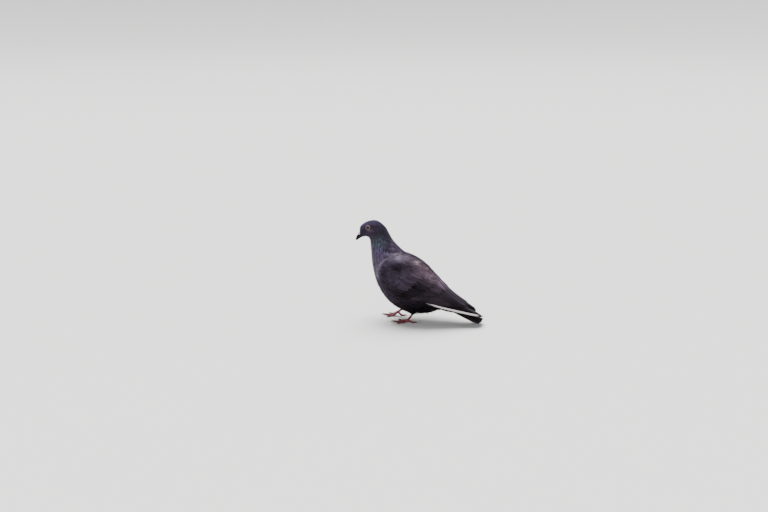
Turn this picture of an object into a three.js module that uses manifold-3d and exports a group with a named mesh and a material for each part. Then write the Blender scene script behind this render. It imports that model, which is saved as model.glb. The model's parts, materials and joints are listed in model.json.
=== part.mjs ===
// A life-size pigeon, standing with one foot a step ahead, as a still model.
// Millimetres. +Z is up, the bill points to -X, the tail to +X and the bird's left side is -Y.
// The body is one form on a row of ribs, parted by thin cuts into torso, neck and head. Each wing is a
// patch hung between three lines, with its feathers in tiers. The tail is a fan of twelve feathers.
import * as THREE from "three";
import { mergeVertices } from "three/addons/utils/BufferGeometryUtils.js";
import Module from "manifold-3d";

const wasm = await Module();
wasm.setup();

// ---- Driving sizes ------------------------------------------------------------------------------------

const GAP = 0.3; // clearance between two nodes that touch
const FINEST = 0.06; // detail smaller than this is left out of a solid
const CLEAN_PASSES = 3;
const FLOOR = 0; // height of the surface that the bird stands on
const PI = Math.PI;

// Ribs of the body from tail to bill: where each meets the back, where it meets the belly, its half width,
// and how much wider it is towards the back (+) or the belly (-).
const RIBS = {
  tailRoot: { back: [63, 66], belly: [68, 34], half: 21, egg: 0.1 },
  vent: { back: [45, 91], belly: [40, 19.5], half: 32, egg: 0.06 },
  legs: { back: [18.5, 118.5], belly: [-2, 17.2], half: 38.5, egg: 0.02 },
  keel: { back: [-8, 136.5], belly: [-38, 33], half: 40, egg: -0.02 },
  breast: { back: [-26, 150], belly: [-64, 65], half: 35.5, egg: -0.02 },
  crop: { back: [-37, 162], belly: [-77, 105], half: 28.5, egg: -0.02 },
  neck: { back: [-44.5, 175], belly: [-81.3, 140], half: 20, egg: 0 },
  nape: { back: [-52.5, 189], belly: [-84, 163], half: 15, egg: -0.05 },
  crown: { back: [-69, 201.5], belly: [-91, 169.5], half: 13.5, egg: -0.12 },
  brow: { back: [-87, 200.5], belly: [-97, 169.8], half: 11.5, egg: -0.15 },
  forehead: { back: [-101.6, 191], belly: [-100.6, 169.2], half: 8, egg: -0.1 },
  billRoot: { back: [-104.6, 179], belly: [-102.2, 169.6], half: 4.4, egg: 0 },
};
const BODY_FACETS = { steps: 44, sides: 24 };
const NECK_CUT = 5; // the rib between torso and neck
const HEAD_CUT = 7; // the rib between neck and head

const HEAD_TURN = 15; // degrees that the head is turned to the left
const NECK_AXIS_X = -62; // the upright line that it turns about
const TURN_FROM = 136; // heights between which the neck twists
const TURN_TO = 172;

const CERE = { centre: [-105.2, 2.1, 175.8], size: [4.7, 2.6, 2.7], pitch: 50 };

const NOSTRIL = { at: [-105.9, 2.9, 170.9], length: 1.8, radius: 0.5, pitch: 48 };

const EYE = { rib: 8.72, around: 78, radius: 5.3, proud: 1.5, lidWire: 0.9 };

// The bill's ridge, the line of its mouth and its jaw, from inside the face to the tip, and half its width.
const BILL = {
  ridge: [[-100.5, 178.5], [-105.8, 175.4], [-109.1, 170.4], [-110.9, 165.6], [-111, 161.7]],
  mouth: [[-96.5, 171.4], [-101.4, 170.3], [-105.6, 167.3], [-109, 164], [-110.8, 161.4]],
  jaw: [[-96.5, 168.6], [-101, 167.5], [-104.8, 164.9], [-107.9, 162.7], [-109.9, 161.5]],
  halfWidth: [4.6, 3.5, 2.6, 1.8, 0.45],
};

// The wing's three lines from the wrist to the tip, for the bird's right side: its top edge on the back,
// its widest line, and its lower edge.
const WING_TOP = [
  [-38, 31, 137], [-6, 19, 135], [28, 7.5, 119], [54, 3, 93.5], [88, 2.5, 58], [122, 4.5, 35.5], [152, 4, 21.5],
];
const WING_SIDE = [
  [-62, 33.5, 109], [-26, 46, 107], [14, 48.5, 92], [54, 43, 70.5], [89, 31, 51.5], [122, 20, 35.8], [151, 8.5, 21.5],
];
const WING_LOW = [
  [-53, 31.5, 80], [-28, 39.5, 62], [6, 42.5, 53], [42, 39.5, 48], [84, 32, 38], [120, 23, 29], [148, 13, 19],
];

const WING_CORE = { end: 0.9, cover: [0.4, 3.4], thick: [14, 1.6] };

// A feather's vane: places along it, its half width there, and how thick it is at the root and the tip.
const VANE = { rows: [0, 0.5, 0.86, 1], widths: [0.6, 1, 0.86, 0.3], tipRound: 0.05, thick: 0.95, thin: 0.55 };

// The wing's tiers, each from its lowest feather to its highest. root and tip are places on the wing, as
// [along, down], half is the half width, rise the height of root and tip over the wing's face.
const WING_TIERS = [
  {
    name: "primaries", count: 7, half: [6.5, 9], rise: [-4.6, -2.6], step: 1.1, tilt: 0.6, bulge: 0.045,
    first: { root: [0.5, 0.95], tip: [0.985, 0.84] }, last: { root: [0.62, 0.4], tip: [0.86, 0.24] },
  },
  {
    name: "secondaries", count: 7, half: [8.5, 10], rise: [-3.9, -1.2], step: 0.6, tilt: 0.6, bulge: 0.01,
    first: { root: [0.36, 0.94], tip: [0.62, 0.88] }, last: { root: [0.5, 0.36], tip: [0.79, 0.36] },
  },
  {
    name: "tertials", count: 3, half: [10, 11], rise: [-2.8, -0.2], step: 0.5, tilt: 0.6,
    first: { root: [0.5, 0.3], tip: [0.78, 0.27] }, last: { root: [0.5, 0.12], tip: [0.83, 0.12] },
  },
  {
    name: "greater coverts", count: 8, half: [8, 9], rise: [-2.6, 0.1], step: 0.4, tilt: 0.6, bulge: 0.02,
    first: { root: [0.26, 0.95], tip: [0.43, 0.95] }, last: { root: [0.38, 0.24], tip: [0.57, 0.25] },
  },
  {
    name: "median coverts", count: 7, half: [8.5, 9.5], rise: [-1.8, 0.8], step: 0.2, tilt: 0.6, bulge: 0.02,
    first: { root: [0.14, 0.95], tip: [0.3, 0.95] }, last: { root: [0.26, 0.22], tip: [0.43, 0.24] },
  },
  {
    name: "scapulars", count: 5, half: [10, 11], rise: [-1.6, 1.1], step: 0.3, tilt: 0.5, bulge: 0,
    first: { root: [0.12, 0.14], tip: [0.29, 0.18] }, last: { root: [0.36, 0.05], tip: [0.57, 0.09] },
  },
  {
    name: "alula", count: 2, half: [4.5, 5], rise: [-2.2, 0.6], step: 0.4, tilt: 0.4,
    first: { root: [0.16, 0.98], tip: [0.36, 1.02] }, last: { root: [0.12, 0.94], tip: [0.3, 0.97] },
  },
];

// The tail: its middle line's root and tip, the half width and hang of the closed fan, and its feathers.
const TAIL = {
  root: [48, 49.5], tip: [147.5, 9.6], spread: [15, 24.5], sag: 4.5, core: [13, 0.7],
  feathers: 12, half: 8.5, layer: 0.75, fanRoot: 18, outerShorter: 3.5,
};
// The tail's coverts on each face: where they root and end, how far they stand to the side at root and tip,
// and how high their tips lie over the fan, and under it.
const TAIL_COVERTS = {
  count: 7, half: 6.5, root: 6, reach: 52, outerShorter: 12, side: [13, 17], sunk: 2, outerLower: 5,
  tipOver: 2.6, tipUnder: 6,
};

// Feet: the joint where the toes meet, how high it stands, and the heel that the shank leads to.
const FEET = {
  left: { side: -1, joint: [0, 20, 5.2], heel: [17.5, 20, 30], hip: [-8, 19, 50], bare: 0.6, toeTurn: 6 },
  right: {
    side: 1, joint: [-30.5, 19, 8.6], heel: [-7.5, 19, 27.5], hip: [-27, 19, 48], bare: 0.47, toeTurn: -4,
  },
};
const TOES = [
  { name: "outer", turn: 34, length: 20, radius: 2.1, claw: 6.5 },
  { name: "middle", turn: 2, length: 27.5, radius: 2.3, claw: 7 },
  { name: "inner", turn: -33, length: 21, radius: 2, claw: 6.5 },
  { name: "hind", turn: 172, length: 13, radius: 2, claw: 6.5 },
];
const SHANK_RADIUS = 2.3;
const THIGH_RADII = [13, 10.5, 3.6];

// ---- Solids from surfaces -----------------------------------------------------------------------------

const vec = (x, y, z) => new THREE.Vector3(x, y, z);
const radians = THREE.MathUtils.degToRad;
const mix = THREE.MathUtils.lerp;

// A smooth line through points, read by its place from 0 to 1.
const lineThrough = (points) =>
  new THREE.CatmullRomCurve3(points.map((p) => vec(...p)), false, "catmullrom", 0.5);

// A closed three.js geometry from points and triangles.
function geometryOf(points, triangles) {
  const flat = new Float32Array(points.flatMap((p) => [p.x, p.y, p.z]));
  const made = new THREE.BufferGeometry().setAttribute("position", new THREE.BufferAttribute(flat, 3));
  return made.setIndex(triangles);
}

// A solid from a closed geometry. One that came out with its faces inwards is turned round.
function solidOf(geometry) {
  const bare = geometry.clone();
  bare.deleteAttribute("normal");
  bare.deleteAttribute("uv");
  const merged = mergeVertices(bare, 1e-4);
  const build = (triVerts) =>
    new wasm.Manifold(
      new wasm.Mesh({ numProp: 3, vertProperties: merged.attributes.position.array, triVerts }),
    );
  const triangles = new Uint32Array(merged.index.array);
  const made = build(triangles);
  return made.volume() > 0 ? made : build(triangles.reverse());
}

const middleOf = (ring) => ring.reduce((sum, p) => sum.add(p), vec(0, 0, 0)).divideScalar(ring.length);

// A solid through a row of rings that have the same number of points, with a flat fan at each end.
function solidFromRings(rings) {
  const count = rings[0].length;
  const points = rings.flat();
  const first = points.push(middleOf(rings[0])) - 1;
  const last = points.push(middleOf(rings[rings.length - 1])) - 1;
  const triangles = [];
  for (let k = 0; k < count; k++) {
    const next = (k + 1) % count;
    for (let i = 0; i + 1 < rings.length; i++) {
      const [a, b, c, d] = [i * count + k, i * count + next, (i + 1) * count + k, (i + 1) * count + next];
      triangles.push(a, b, c, b, d, c);
    }
    const end = (rings.length - 1) * count;
    triangles.push(first, next, k, last, end + k, end + next);
  }
  return solidOf(geometryOf(points, triangles));
}

// A closed plate from two grids of points alike, an outer and an inner face, joined round their rim.
function solidFromFaces(outer, inner) {
  const rings = outer.map((row, i) => [...row, ...[...inner[i]].reverse()]);
  const count = rings[0].length;
  const points = rings.flat();
  const triangles = [];
  for (let i = 0; i + 1 < rings.length; i++)
    for (let k = 0; k < count; k++) {
      const next = (k + 1) % count;
      const [a, b, c, d] = [i * count + k, i * count + next, (i + 1) * count + k, (i + 1) * count + next];
      // The diagonal leans the same way on both faces, so that a thin curved plate never crosses itself.
      if (k < count / 2) triangles.push(a, b, c, b, d, c);
      else triangles.push(a, b, d, a, d, c);
    }
  for (const [row, turned] of [[0, false], [rings.length - 1, true]])
    for (let k = 0; k + 1 < count / 2; k++) {
      const base = row * count;
      const [a, b, c, d] = [base + k, base + k + 1, base + count - 1 - k, base + count - 2 - k];
      if (turned) triangles.push(a, b, c, b, d, c);
      else triangles.push(a, c, b, b, c, d);
    }
  return solidOf(geometryOf(points, triangles));
}

const union = (solids) => wasm.Manifold.union(solids);

// A solid with the edges closed up that are shorter than a length, if it stays a closed body.
function closeShortEdges(solid, length) {
  const { numProp, numVert, vertProperties, triVerts } = solid.getMesh();
  const at = (i) => vec().fromArray(vertProperties, i * numProp);
  const joined = Array.from({ length: numVert }, (_, i) => i);
  const kept = (i) => (joined[i] === i ? i : kept(joined[i]));
  for (let i = 0; i < triVerts.length; i++) {
    const next = i % 3 === 2 ? i - 2 : i + 1;
    const [a, b] = [kept(triVerts[i]), kept(triVerts[next])];
    const apart = at(triVerts[i]).distanceTo(at(triVerts[next]));
    if (a !== b && apart < length) joined[Math.max(a, b)] = Math.min(a, b);
  }
  const triangles = [];
  for (let i = 0; i < triVerts.length; i += 3) {
    const corners = [0, 1, 2].map((k) => kept(triVerts[i + k]));
    if (new Set(corners).size === 3) triangles.push(...corners);
  }
  try {
    return new wasm.Manifold(new wasm.Mesh({ numProp, vertProperties, triVerts: new Uint32Array(triangles) }));
  } catch {
    return solid;
  }
}

// A solid without slivers. Each further pass takes some of those that the one before leaves.
function tidy(solid) {
  let clean = solid;
  for (let pass = 0; pass < CLEAN_PASSES; pass++)
    clean = closeShortEdges(clean.asOriginal().simplify(FINEST), FINEST);
  return clean;
}

// The largest closed surface of a solid: sealed hollows are filled and loose scraps dropped.
const largest = (solid) => solid.decompose().reduce((best, s) => (s.volume() > best.volume() ? s : best));

const group = new THREE.Group();

function addNode(name, solid, material) {
  const mesh = largest(tidy(solid)).getMesh();
  const position = new Float32Array(mesh.numVert * 3);
  for (let i = 0; i < mesh.numVert; i++)
    position.set(mesh.vertProperties.subarray(i * mesh.numProp, i * mesh.numProp + 3), i * 3);
  const geometry = new THREE.BufferGeometry().setAttribute("position", new THREE.BufferAttribute(position, 3));
  geometry.setIndex(new THREE.BufferAttribute(mesh.triVerts, 1));
  geometry.computeVertexNormals();
  const node = new THREE.Mesh(geometry, material);
  node.name = name;
  group.add(node);
}

const finish = (color, roughness) => new THREE.MeshStandardMaterial({ color, roughness, metalness: 0 });
const PLUMAGE = finish(0x3c3542, 0.7);
const NECK_PLUMAGE = finish(0x3a4148, 0.45);
const WING_PLUMAGE = finish(0x3a333d, 0.7);
const TAIL_PLUMAGE = finish(0x18151a, 0.65);
const BILL_HORN = finish(0x1c191d, 0.4);
const CERE_SKIN = finish(0xd8d2d0, 0.8);
const EYE_GLASS = finish(0xc0621f, 0.1);
const LEG_SKIN = finish(0xa83a36, 0.55);
const CLAW_HORN = finish(0x2b2726, 0.4);

// ---- Body ---------------------------------------------------------------------------------------------

const ribList = Object.values(RIBS);
const LAST_RIB = ribList.length - 1;
const backLine = lineThrough(ribList.map((r) => [r.back[0], 0, r.back[1]]));
const bellyLine = lineThrough(ribList.map((r) => [r.belly[0], 0, r.belly[1]]));
const girthLine = lineThrough(ribList.map((r) => [r.half, r.egg, 0]));

// A point of the upright bird, moved by the turn of the neck and head.
function turned(p) {
  const share = THREE.MathUtils.smoothstep(p.z, TURN_FROM, TURN_TO);
  const pivot = vec(NECK_AXIS_X, 0, 0);
  return p.clone().sub(pivot).applyAxisAngle(vec(0, 0, 1), radians(HEAD_TURN) * share).add(pivot);
}

// The body's surface at a rib number and an angle round it from the back, 0, to the belly, 180 degrees.
function bodyPoint(rib, around, grow = 0) {
  const t = rib / LAST_RIB;
  const [back, belly, girth] = [backLine, bellyLine, girthLine].map((line) => line.getPoint(t));
  const up = back.clone().sub(belly).divideScalar(2);
  const centre = belly.clone().add(up);
  const angle = radians(around);
  const rise = (1 + grow / up.length()) * Math.cos(angle);
  const side = (girth.x + grow) * Math.sin(angle) * (1 + girth.y * Math.cos(angle));
  return centre.addScaledVector(up, rise).add(vec(0, side, 0));
}

// The whole body, or with grow the room that it takes with that much clearance all round.
function bodySolid(grow) {
  const { steps, sides } = BODY_FACETS;
  const rings = [];
  for (let i = 0; i <= steps; i++) {
    const rib = (LAST_RIB * i) / steps;
    rings.push(Array.from({ length: sides }, (_, k) => turned(bodyPoint(rib, (360 * k) / sides, grow))));
  }
  for (const [end, before] of [[0, 1], [steps, steps - 1]]) {
    const push = middleOf(rings[end]).sub(middleOf(rings[before])).setLength(grow);
    rings[end].forEach((p) => p.add(push));
  }
  return solidFromRings(rings);
}

// The plane of a rib, facing the head, as a normal and its distance from the origin.
function ribPlane(rib, headTurn) {
  const t = rib / LAST_RIB;
  const [back, belly] = [backLine.getPoint(t), bellyLine.getPoint(t)];
  const along = back.clone().sub(belly);
  let normal = vec(-along.z, 0, along.x).normalize();
  let on = belly.clone();
  if (headTurn) {
    normal = normal.applyAxisAngle(vec(0, 0, 1), radians(HEAD_TURN));
    on = turned(on);
  }
  return { normal, offset: normal.dot(on) };
}

const headSide = (solid, plane, gap) => solid.trimByPlane(plane.normal.toArray(), plane.offset + gap);
const tailSide = (solid, plane, gap) =>
  solid.trimByPlane(plane.normal.clone().negate().toArray(), gap - plane.offset);

const body = bodySolid(0);
const bodyRoom = bodySolid(GAP + FINEST);
const neckPlane = ribPlane(NECK_CUT, false);
const headPlane = ribPlane(HEAD_CUT, true);

// ---- Head: eyes, lids and bill ------------------------------------------------------------------------

function eyePlace(side) {
  const skin = bodyPoint(EYE.rib, EYE.around * side);
  const step = 0.02;
  const across = bodyPoint(EYE.rib, (EYE.around + 1) * side).sub(skin);
  const along = bodyPoint(EYE.rib + step, EYE.around * side).sub(skin);
  const out = across.cross(along).normalize();
  if (out.y * side < 0) out.negate();
  const centre = skin.clone().addScaledVector(out, EYE.proud - EYE.radius);
  const turn = (v) => v.clone().applyAxisAngle(vec(0, 0, 1), radians(HEAD_TURN));
  return { centre: turned(centre), out: turn(out), rim: turned(skin) };
}

function placed(geometry, centre, out) {
  const turn = new THREE.Quaternion().setFromUnitVectors(vec(0, 0, 1), out);
  return solidOf(geometry.clone().applyQuaternion(turn).translate(centre.x, centre.y, centre.z));
}

const eyeBall = (radius) => new THREE.SphereGeometry(radius, 14, 9);
let head = headSide(body, headPlane, GAP / 2);
for (const side of [-1, 1]) {
  const eye = eyePlace(side);
  const ringRadius = Math.sqrt(EYE.radius ** 2 - (EYE.radius - EYE.proud) ** 2) + EYE.lidWire;
  const lids = new THREE.TorusGeometry(ringRadius, EYE.lidWire, 5, 14);
  const socket = placed(eyeBall(EYE.radius + GAP), eye.centre, eye.out);
  head = head.add(placed(lids, eye.rim, eye.out)).subtract(socket);
  addNode(side < 0 ? "left_eye" : "right_eye", placed(eyeBall(EYE.radius), eye.centre, eye.out), EYE_GLASS);
}
addNode("head", head, PLUMAGE);

// Half of the bill between the line of the mouth and the ridge or the jaw: a flat face along the mouth and
// half an ellipse over it.
function billHalf(edge, shift, grow, skip = 0) {
  const [edgeLine, mouthLine] = [edge, BILL.mouth].map((row) => lineThrough(row.map(([x, z]) => [x, 0, z])));
  const widthLine = lineThrough(BILL.halfWidth.map((w, i) => [w, i, 0]));
  const rings = [];
  for (let i = 0; i <= 12; i++) {
    const t = mix(skip, 1, i / 12);
    const mouth = mouthLine.getPoint(t);
    const reach = edgeLine.getPoint(t).sub(mouth);
    const high = Math.max(reach.length(), 0.4);
    const away = reach.normalize();
    const wide = Math.max(widthLine.getPoint(t).x, 0.35) + grow;
    mouth.addScaledVector(away, shift - grow);
    rings.push(
      Array.from({ length: 9 }, (_, k) => {
        const angle = PI * (k / 8 - 0.5);
        const rise = (high - shift + 2 * grow) * Math.cos(angle);
        return turned(mouth.clone().addScaledVector(away, rise).add(vec(0, wide * Math.sin(angle), 0)));
      }),
    );
  }
  return solidFromRings(rings);
}

const upperRoom = billHalf(BILL.ridge, 0, GAP);
addNode("lower_bill", billHalf(BILL.jaw, GAP, 0).subtract(bodyRoom), BILL_HORN);
// A shape given in the upright head, as a solid in the turned one.
function turnedSolid(shape) {
  const corners = shape.attributes.position;
  for (let i = 0; i < corners.count; i++) {
    const p = turned(vec().fromBufferAttribute(corners, i));
    corners.setXYZ(i, p.x, p.y, p.z);
  }
  return solidOf(shape);
}

const lobes = [-1, 1].map((side) => {
  const lobe = new THREE.SphereGeometry(1, 10, 8).scale(...CERE.size).rotateY(radians(-CERE.pitch));
  return turnedSolid(lobe.translate(CERE.centre[0], CERE.centre[1] * side, CERE.centre[2]));
});
addNode("cere", union(lobes).subtract(bodyRoom).subtract(upperRoom), CERE_SKIN);

const nostrils = [-1, 1].map((side) => {
  const slit = new THREE.CapsuleGeometry(NOSTRIL.radius, NOSTRIL.length, 3, 6).rotateZ(PI / 2);
  slit.rotateY(radians(-NOSTRIL.pitch)).translate(NOSTRIL.at[0], NOSTRIL.at[1] * side, NOSTRIL.at[2]);
  return turnedSolid(slit);
});
const upperBill = billHalf(BILL.ridge, 0, 0).subtract(bodyRoom);
addNode("upper_bill", upperBill.subtract(union(nostrils)), BILL_HORN);

addNode("neck", tailSide(headSide(body, neckPlane, GAP / 2), headPlane, GAP / 2), NECK_PLUMAGE);
addNode("torso", tailSide(body, neckPlane, GAP / 2), PLUMAGE);

// ---- Feathers -----------------------------------------------------------------------------------------

// A small even draw from -1 to 1 that is the same on every run.
let seed = 7;
function draw() {
  seed = (seed * 1103515245 + 12345) % 2147483648;
  return (2 * seed) / 2147483648 - 1;
}

// A vane as a closed thin plate. place gives, for a share of the length and a distance across the shaft as
// a share of the half width, a point of its outer face and the direction that this face looks.
function vane(place) {
  const end = VANE.rows.length - 1;
  const face = (under) =>
    VANE.rows.map((share, i) =>
      [-1, 0, 1].map((across) => {
        const round = i === end ? VANE.tipRound * Math.abs(across) : 0;
        const { point, out } = place(share - round, across * VANE.widths[i]);
        return point.addScaledVector(out, -under * mix(VANE.thick, VANE.thin, share));
      }),
    );
  return solidFromFaces(face(0), face(1));
}

// ---- Wings --------------------------------------------------------------------------------------------

const wingLines = [WING_TOP, WING_SIDE, WING_LOW].map(lineThrough);

// A point of one of the wing's lines, which run on straight past both ends.
function linePoint(line, along) {
  const at = THREE.MathUtils.clamp(along, 0, 1);
  const point = line.getPoint(at);
  if (at === along) return point;
  const before = line.getPoint(at > 0.5 ? 0.98 : 0.02);
  return point.addScaledVector(point.clone().sub(before), Math.abs(along - at) / 0.02);
}

// The folded wing's outer face: along from the wrist, 0, to the tip, 1, and down from its top edge, 0, to
// its lower edge, 1. It is a parabola through the three lines at each place along.
function wingPoint(side, along, down) {
  const [top, middle, low] = wingLines.map((line) => linePoint(line, along));
  const pull = middle.multiplyScalar(2).addScaledVector(top, -0.5).addScaledVector(low, -0.5);
  top.multiplyScalar((1 - down) ** 2);
  top.addScaledVector(pull, 2 * down * (1 - down)).addScaledVector(low, down ** 2);
  return vec(top.x, top.y * side, top.z);
}

// The wing face's two slopes at a place, in millimetres for one whole unit along or down.
function wingSlopes(side, along, down) {
  const step = 0.01;
  const slope = (a, d) =>
    wingPoint(side, along + a, down + d).sub(wingPoint(side, along - a, down - d)).divideScalar(2 * step);
  return [slope(step, 0), slope(0, step)];
}

function wingNormal(side, along, down) {
  const [a, d] = wingSlopes(side, along, down);
  return a.cross(d).normalize().multiplyScalar(side);
}

const offWing = (side, along, down, height) =>
  wingPoint(side, along, down).addScaledVector(wingNormal(side, along, down), height);

// The step in along and down that moves a point sideways from a shaft by a distance in millimetres.
function stepAcross(side, along, down, heading, distance) {
  const [a, d] = wingSlopes(side, along, down);
  const shaft = a.clone().multiplyScalar(heading[0]).addScaledVector(d, heading[1]).normalize();
  const across = d.clone().addScaledVector(shaft, -d.dot(shaft)).normalize().multiplyScalar(distance);
  const [aa, ad, dd] = [a.dot(a), a.dot(d), d.dot(d)];
  const scale = aa * dd - ad * ad;
  return [(dd * a.dot(across) - ad * d.dot(across)) / scale, (aa * d.dot(across) - ad * a.dot(across)) / scale];
}

function wingVane(side, root, tip, half, rise, tilt) {
  const heading = [tip[0] - root[0], tip[1] - root[1]];
  return vane((share, across) => {
    const [along, down] = [mix(root[0], tip[0], share), mix(root[1], tip[1], share)];
    const [a, d] = stepAcross(side, along, down, heading, across * half);
    const height = mix(rise[0], rise[1], Math.sqrt(Math.max(0, share))) + tilt * across;
    return { point: offWing(side, along + a, down + d, height), out: wingNormal(side, along + a, down + d) };
  });
}

// A tier of feathers between its first and last, each given by root and tip places, half width and height.
function wingTier(side, tier) {
  return Array.from({ length: tier.count }, (_, i) => {
    const share = tier.count > 1 ? i / (tier.count - 1) : 0;
    const between = (key) => tier.first[key].map((value, n) => mix(value, tier.last[key][n], share));
    const arch = (tier.bulge ?? 0) * 4 * share * (1 - share);
    const [root, tip] = [between("root"), between("tip")];
    tip[0] += arch + 0.006 * draw();
    const half = mix(tier.half[0], tier.half[1], share) * (1 + 0.04 * draw());
    const rise = tier.rise.map((value) => value + tier.step * share);
    return wingVane(side, root, tip, half, rise, tier.tilt);
  });
}

// The body of the wing under its feathers.
function wingCore(side) {
  const [rows, cols] = [12, 6];
  const outer = [];
  const inner = [];
  for (let i = 0; i <= rows; i++) {
    const along = (WING_CORE.end * i) / rows;
    const under = mix(WING_CORE.cover[0], WING_CORE.cover[1], THREE.MathUtils.smoothstep(along, 0.25, 0.6));
    const thick = mix(WING_CORE.thick[0], WING_CORE.thick[1], THREE.MathUtils.smoothstep(along, 0.35, 0.8));
    outer.push([]);
    inner.push([]);
    for (let k = 0; k <= cols; k++) {
      const down = mix(0.02, 0.97, k / cols);
      const edge = Math.sin(PI * mix(0.08, 0.92, k / cols)) ** 0.6;
      outer[i].push(offWing(side, along, down, -under));
      inner[i].push(offWing(side, along, down, -under - Math.max(1, thick * edge)));
    }
  }
  return solidFromFaces(outer, inner);
}

for (const side of [-1, 1]) {
  const feathers = WING_TIERS.flatMap((tier) => wingTier(side, tier));
  const wing = union([wingCore(side), ...feathers]).trimByPlane([0, side, 0], GAP / 2);
  addNode(side < 0 ? "left_wing" : "right_wing", wing.subtract(bodyRoom), WING_PLUMAGE);
}

// ---- Tail ---------------------------------------------------------------------------------------------

const tailRoot = vec(TAIL.root[0], 0, TAIL.root[1]);
const tailTip = vec(TAIL.tip[0], 0, TAIL.tip[1]);
const tailLength = tailTip.distanceTo(tailRoot);
const tailAlong = tailTip.clone().sub(tailRoot).normalize();
const tailUp = vec(-tailAlong.z, 0, tailAlong.x);

// A point of the tail from its root, with y to the side and height over its middle line. Its sides hang.
function tailPoint(length, y, height) {
  const sag = TAIL.sag * (y / TAIL.spread[1]) ** 2 * mix(1, 0.55, length / tailLength);
  const middle = tailRoot.clone().addScaledVector(tailAlong, length);
  return middle.addScaledVector(tailUp, height - sag).add(vec(0, y, 0));
}

// A feather of the tail, from a root to a tip, both as a length along the tail, a side and a height.
function tailVane(root, tip, half, tilt, face = 1) {
  return vane((share, across) => {
    const [length, y, height] = root.map((value, n) => mix(value, tip[n], share));
    const point = tailPoint(length, y + across * half, height - face * tilt * Math.sign(y) * across);
    return { point, out: tailUp.clone().multiplyScalar(face) };
  });
}

function tailCore() {
  const rings = [];
  for (let i = 0; i <= 8; i++) {
    const share = i / 8;
    const high = mix(TAIL.core[0], TAIL.core[1], THREE.MathUtils.smoothstep(share, 0, 0.8));
    const wide = mix(TAIL.spread[0], TAIL.spread[1] - 6, share * 0.8);
    rings.push(
      Array.from({ length: 14 }, (_, k) => {
        const angle = (2 * PI * k) / 14;
        return tailPoint(tailLength * 0.8 * share, wide * Math.sin(angle), high * Math.cos(angle));
      }),
    );
  }
  return solidFromRings(rings);
}

// The fan: the two middle feathers lie on top, and each pair outwards lies a little lower and ends sooner.
function tailFan() {
  const pairs = TAIL.feathers / 2;
  return Array.from({ length: pairs }, (_, i) => i).flatMap((i) =>
    [-1, 1].map((side) => {
      const out = (i + 0.35) / (pairs - 0.65);
      const root = [TAIL.fanRoot, side * TAIL.spread[0] * 0.75 * out, 0.6 - TAIL.layer * i * 0.4];
      const reach = tailLength - TAIL.outerShorter * out ** 2 + draw();
      const tip = [reach, side * (TAIL.spread[1] - TAIL.half) * out, -TAIL.layer * i];
      return tailVane(root, tip, TAIL.half, TAIL.layer * 0.9);
    }),
  );
}

// The coverts that run out over the fan, with face 1, and under it, with face -1.
function tailCoverts(face) {
  const { count, half, root, reach, outerShorter, side, sunk, outerLower, tipOver, tipUnder } = TAIL_COVERTS;
  return Array.from({ length: count }, (_, i) => {
    const out = (2 * i) / (count - 1) - 1;
    const height = face * (TAIL.core[0] - outerLower * Math.abs(out) - sunk);
    const end = reach - outerShorter * out * out + 2 * draw();
    const tip = [end, side[1] * out, face > 0 ? tipOver : -tipUnder];
    return tailVane([root, side[0] * out, height], tip, half, 0.5, face);
  });
}

const tail = union([tailCore(), ...tailFan(), ...tailCoverts(1), ...tailCoverts(-1)]);
addNode("tail", tail.subtract(bodyRoom), TAIL_PLUMAGE);

// ---- Legs and feet ------------------------------------------------------------------------------------

function tube(points, radii, sides) {
  const line = lineThrough(points.map((p) => p.toArray()));
  const steps = (radii.length - 1) * 2;
  const radiusLine = lineThrough(radii.map((r, i) => [r, i, 0]));
  const rings = [];
  for (let i = 0; i <= steps; i++) {
    const at = i / steps;
    const centre = line.getPoint(at);
    const ahead = line.getTangent(at);
    const across = vec(-ahead.y, ahead.x, 0).normalize();
    const up = ahead.clone().cross(across);
    const radius = radiusLine.getPoint(at).x;
    rings.push(
      Array.from({ length: sides }, (_, k) => {
        const angle = (2 * PI * k) / sides;
        const right = centre.clone().addScaledVector(across, radius * Math.cos(angle));
        return right.addScaledVector(up, radius * Math.sin(angle));
      }),
    );
  }
  return solidFromRings(rings);
}

const onFloor = (solid) => solid.trimByPlane([0, 0, 1], FLOOR);
const ball = (centre, radius) =>
  solidOf(new THREE.SphereGeometry(radius, 14, 10).translate(centre.x, centre.y, centre.z));

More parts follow.
